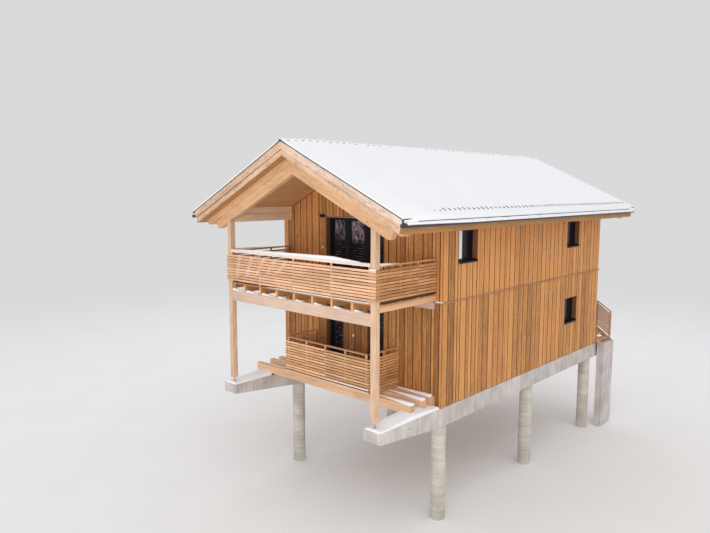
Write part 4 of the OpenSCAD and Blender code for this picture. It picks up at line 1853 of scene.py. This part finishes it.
@dataclass
class PackedNodes:
    """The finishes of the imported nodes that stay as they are."""

    finishes: tuple[tuple[object, str], ...] = (
        (Finishes.CONCRETE, "concrete_beams stair_pier"),
        (Finishes.PADS, "beam_pads"),
        (Finishes.CROSS, "cross_beams"),
        (Finishes.FLOOR, "floors"),
        (Finishes.CORE, "left_wall right_wall rear_wall front_wall_left front_wall_right front_wall_base"
                        " front_wall_pier front_wall_band front_gable"),
        (Finishes.FRAME, "lower_door_frames left_door right_door upper_door_frame window_frames"),
        (Finishes.GLASS, "left_door_glass right_door_glass upper_door_glass window_glass"),
        (Finishes.DOOR, "entrance_door"),
        (Finishes.ROOF, "left_roof right_roof"),
        (Finishes.SHEET, "roof_covering gutters"),
        (Finishes.VERGE, "verge_boards"),
        (Finishes.RAFTER, "verge_rafters porch_rafters"),
        (Finishes.EAVES, "eaves_beams"),
        (Finishes.BEAM, "balcony_beams"),
        (Finishes.JOIST, "balcony_joists"),
        (Finishes.REAR, "rear_steps rear_rail"),
    )

    def build(self) -> None:
        """Give each node its finish."""
        for finish, names in self.finishes:
            for name in names.split():
                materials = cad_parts[name].data.materials
                materials.clear()
                materials.append(Finishes.get(finish))
                LOG.info("%s: %s", name, finish.name)


# Stage


@dataclass
class Stage:
    """The pale floor, the soft light and the camera."""

    lens: float = 32.134
    sensor: float = 36.0
    azimuth: float = 43.02
    pitch: float = 6.84
    eye: Point = (14.0915, -19.7764, 10.1231)
    view_end: float = 1200.0
    floor_half: float = 260.0
    floor_fade: Span = (14.0, 48.0)
    backdrop: float = 0.70
    sky: float = 0.86
    sun: float = 0.50
    sun_size: float = 50.0
    sun_way: Span = (34.0, 48.0)
    fill: float = 235.0
    fill_place: Point = (9.0, -19.0, 7.0)
    fill_aim: Point = (0.0, -5.0, 7.5)
    fill_size: Span = (14.0, 5.0)
    fill_spread: float = 85.0

    def build(self) -> None:
        """Make the floor, the world, the lamps and the camera."""
        self.floor()
        self.world()
        self.lamps()
        camera = bpy.data.cameras.new("camera")
        camera.lens, camera.sensor_width, camera.clip_end = self.lens, self.sensor, self.view_end
        viewer = linked("camera", camera)
        viewer.location = self.eye
        viewer.rotation_euler = (math.radians(90.0 - self.pitch), 0.0, math.radians(self.azimuth))
        bpy.context.scene.camera = viewer
        bpy.context.scene.view_settings.view_transform = "Standard"

    def lamps(self) -> None:
        """A soft sun, and a wide soft lamp low in front, which lights the porch from below like snow does."""
        light = bpy.data.lights.new("soft_sun", "SUN")
        light.energy, light.angle = self.sun, math.radians(self.sun_size)
        tilt, turn = self.sun_way
        linked("soft_sun", light).rotation_euler = (math.radians(tilt), 0.0, math.radians(turn))
        light = bpy.data.lights.new("front_light", "AREA")
        light.shape = "RECTANGLE"
        light.size, light.size_y = self.fill_size
        light.energy, light.spread = self.fill, math.radians(self.fill_spread)
        lamp = linked("front_light", light)
        way = Vector(self.fill_aim) - Vector(self.fill_place)
        lamp.location, lamp.rotation_euler = self.fill_place, way.to_track_quat("-Z", "Y").to_euler()
        lamp.visible_camera = False

    def floor(self) -> None:
        """Lay the floor, which fades into the background away from the house."""
        part = bmesh.new()
        bmesh.ops.create_grid(part, x_segments=4, y_segments=4, size=self.floor_half)
        mesh = bpy.data.meshes.new("floor")
        part.to_mesh(mesh)
        part.free()
        floor = linked("floor", mesh)
        floor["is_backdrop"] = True
        recipe = Recipe("pale_floor")
        place = recipe.place()
        reach = recipe.value("VectorMath", {0: place}, "Value", operation="LENGTH")
        body = place.noise(0.4, 3.0).blend((0.80, 0.80, 0.81), (0.86, 0.86, 0.865))
        shader = recipe.value(
            "BsdfPrincipled", {"Base Color": body, "Roughness": 0.9, "Specular IOR Level": 0.1})
        glow = recipe.value("Emission", {"Color": (1.0, 1.0, 1.0), "Strength": self.backdrop})
        far = reach.step(*self.floor_fade) * recipe.value("LightPath", output="Is Camera Ray")
        recipe.node("OutputMaterial", {"Surface": recipe.value("MixShader", {0: far, 1: shader, 2: glow})})
        mesh.materials.append(recipe.owner)

    def world(self) -> None:
        """Light the scene evenly, with a plain background."""
        recipe = Recipe("soft_world", bpy.data.worlds)
        seen, glossy, through = (
            recipe.value("LightPath", output=f"Is {kind} Ray")
            for kind in ("Camera", "Glossy", "Transmission")
        )
        level = seen.most(glossy).most(through).scaled(self.sky, self.backdrop)
        background = recipe.value("Background", {"Color": (1.0, 1.0, 1.0), "Strength": level})
        recipe.node("OutputWorld", {"Surface": background})
        bpy.context.scene.world = recipe.owner


def side_joints(first: float = 0.295, step: float = 0.3255, corner: float = 0.024) -> list[float]:
    """The joints of a side face, from its front corner to its rear one."""
    count = int((LENGTH - 0.2 - first) / step)
    return [corner, *(first + step * number for number in range(count + 1)), LENGTH - corner]


def main() -> None:
    """Build the house's pieces in order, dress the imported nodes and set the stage."""
    logging.basicConfig(level=logging.INFO, format="%(message)s")
    front = (-HALF, -3.26, -2.94, -2.61, -2.29, -2.03, -1.68, -1.0, -0.68, -0.28, 0.0, 0.28, 0.94,
             1.44, 1.77, 2.1, 2.43, 2.77, 3.11, 3.4, HALF)
    rear = [-HALF + 0.325 * number for number in range(22)] + [HALF]
    near_corner = {0: 0.85, 1: 0.35, 2: 0.8, 3: 0.85}
    builders = [
        PackedNodes(),
        # Painted light: the front and right faces' upper storeys are lighter and their lower storeys darker,
        # and the side faces' raised tone spans paint the light that falls on them.
        Cladding(Face.FRONT, front, seed=7, foot=0.0, storey_light_shift=0.2),
        Cladding(
            Face.RIGHT, side_joints(), seed=8, tones=near_corner, storey_light_shift=0.12, tone_span=(0.5, 1.1)),
        Cladding(Face.LEFT, side_joints(), seed=9, tone_span=(0.45, 1.1)),
        Cladding(Face.REAR, rear, seed=10, foot=0.0),
        OpeningTrim(), StoreyBand(), Soffit(), RoofSnow(), RoofMetal(), UpperBalcony(), LowerBalcony(),
        Supports(), BalconySnow(), Fittings(), RearEntrance(), Stage(),
    ]
    for builder in builders:
        builder.build()
    sizes = {"cad": CAD_BOX, "visual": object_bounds()}
    plain = {name: [[float(value) for value in corner] for corner in box] for name, box in sizes.items()}


if __name__ == "__main__":
    main()
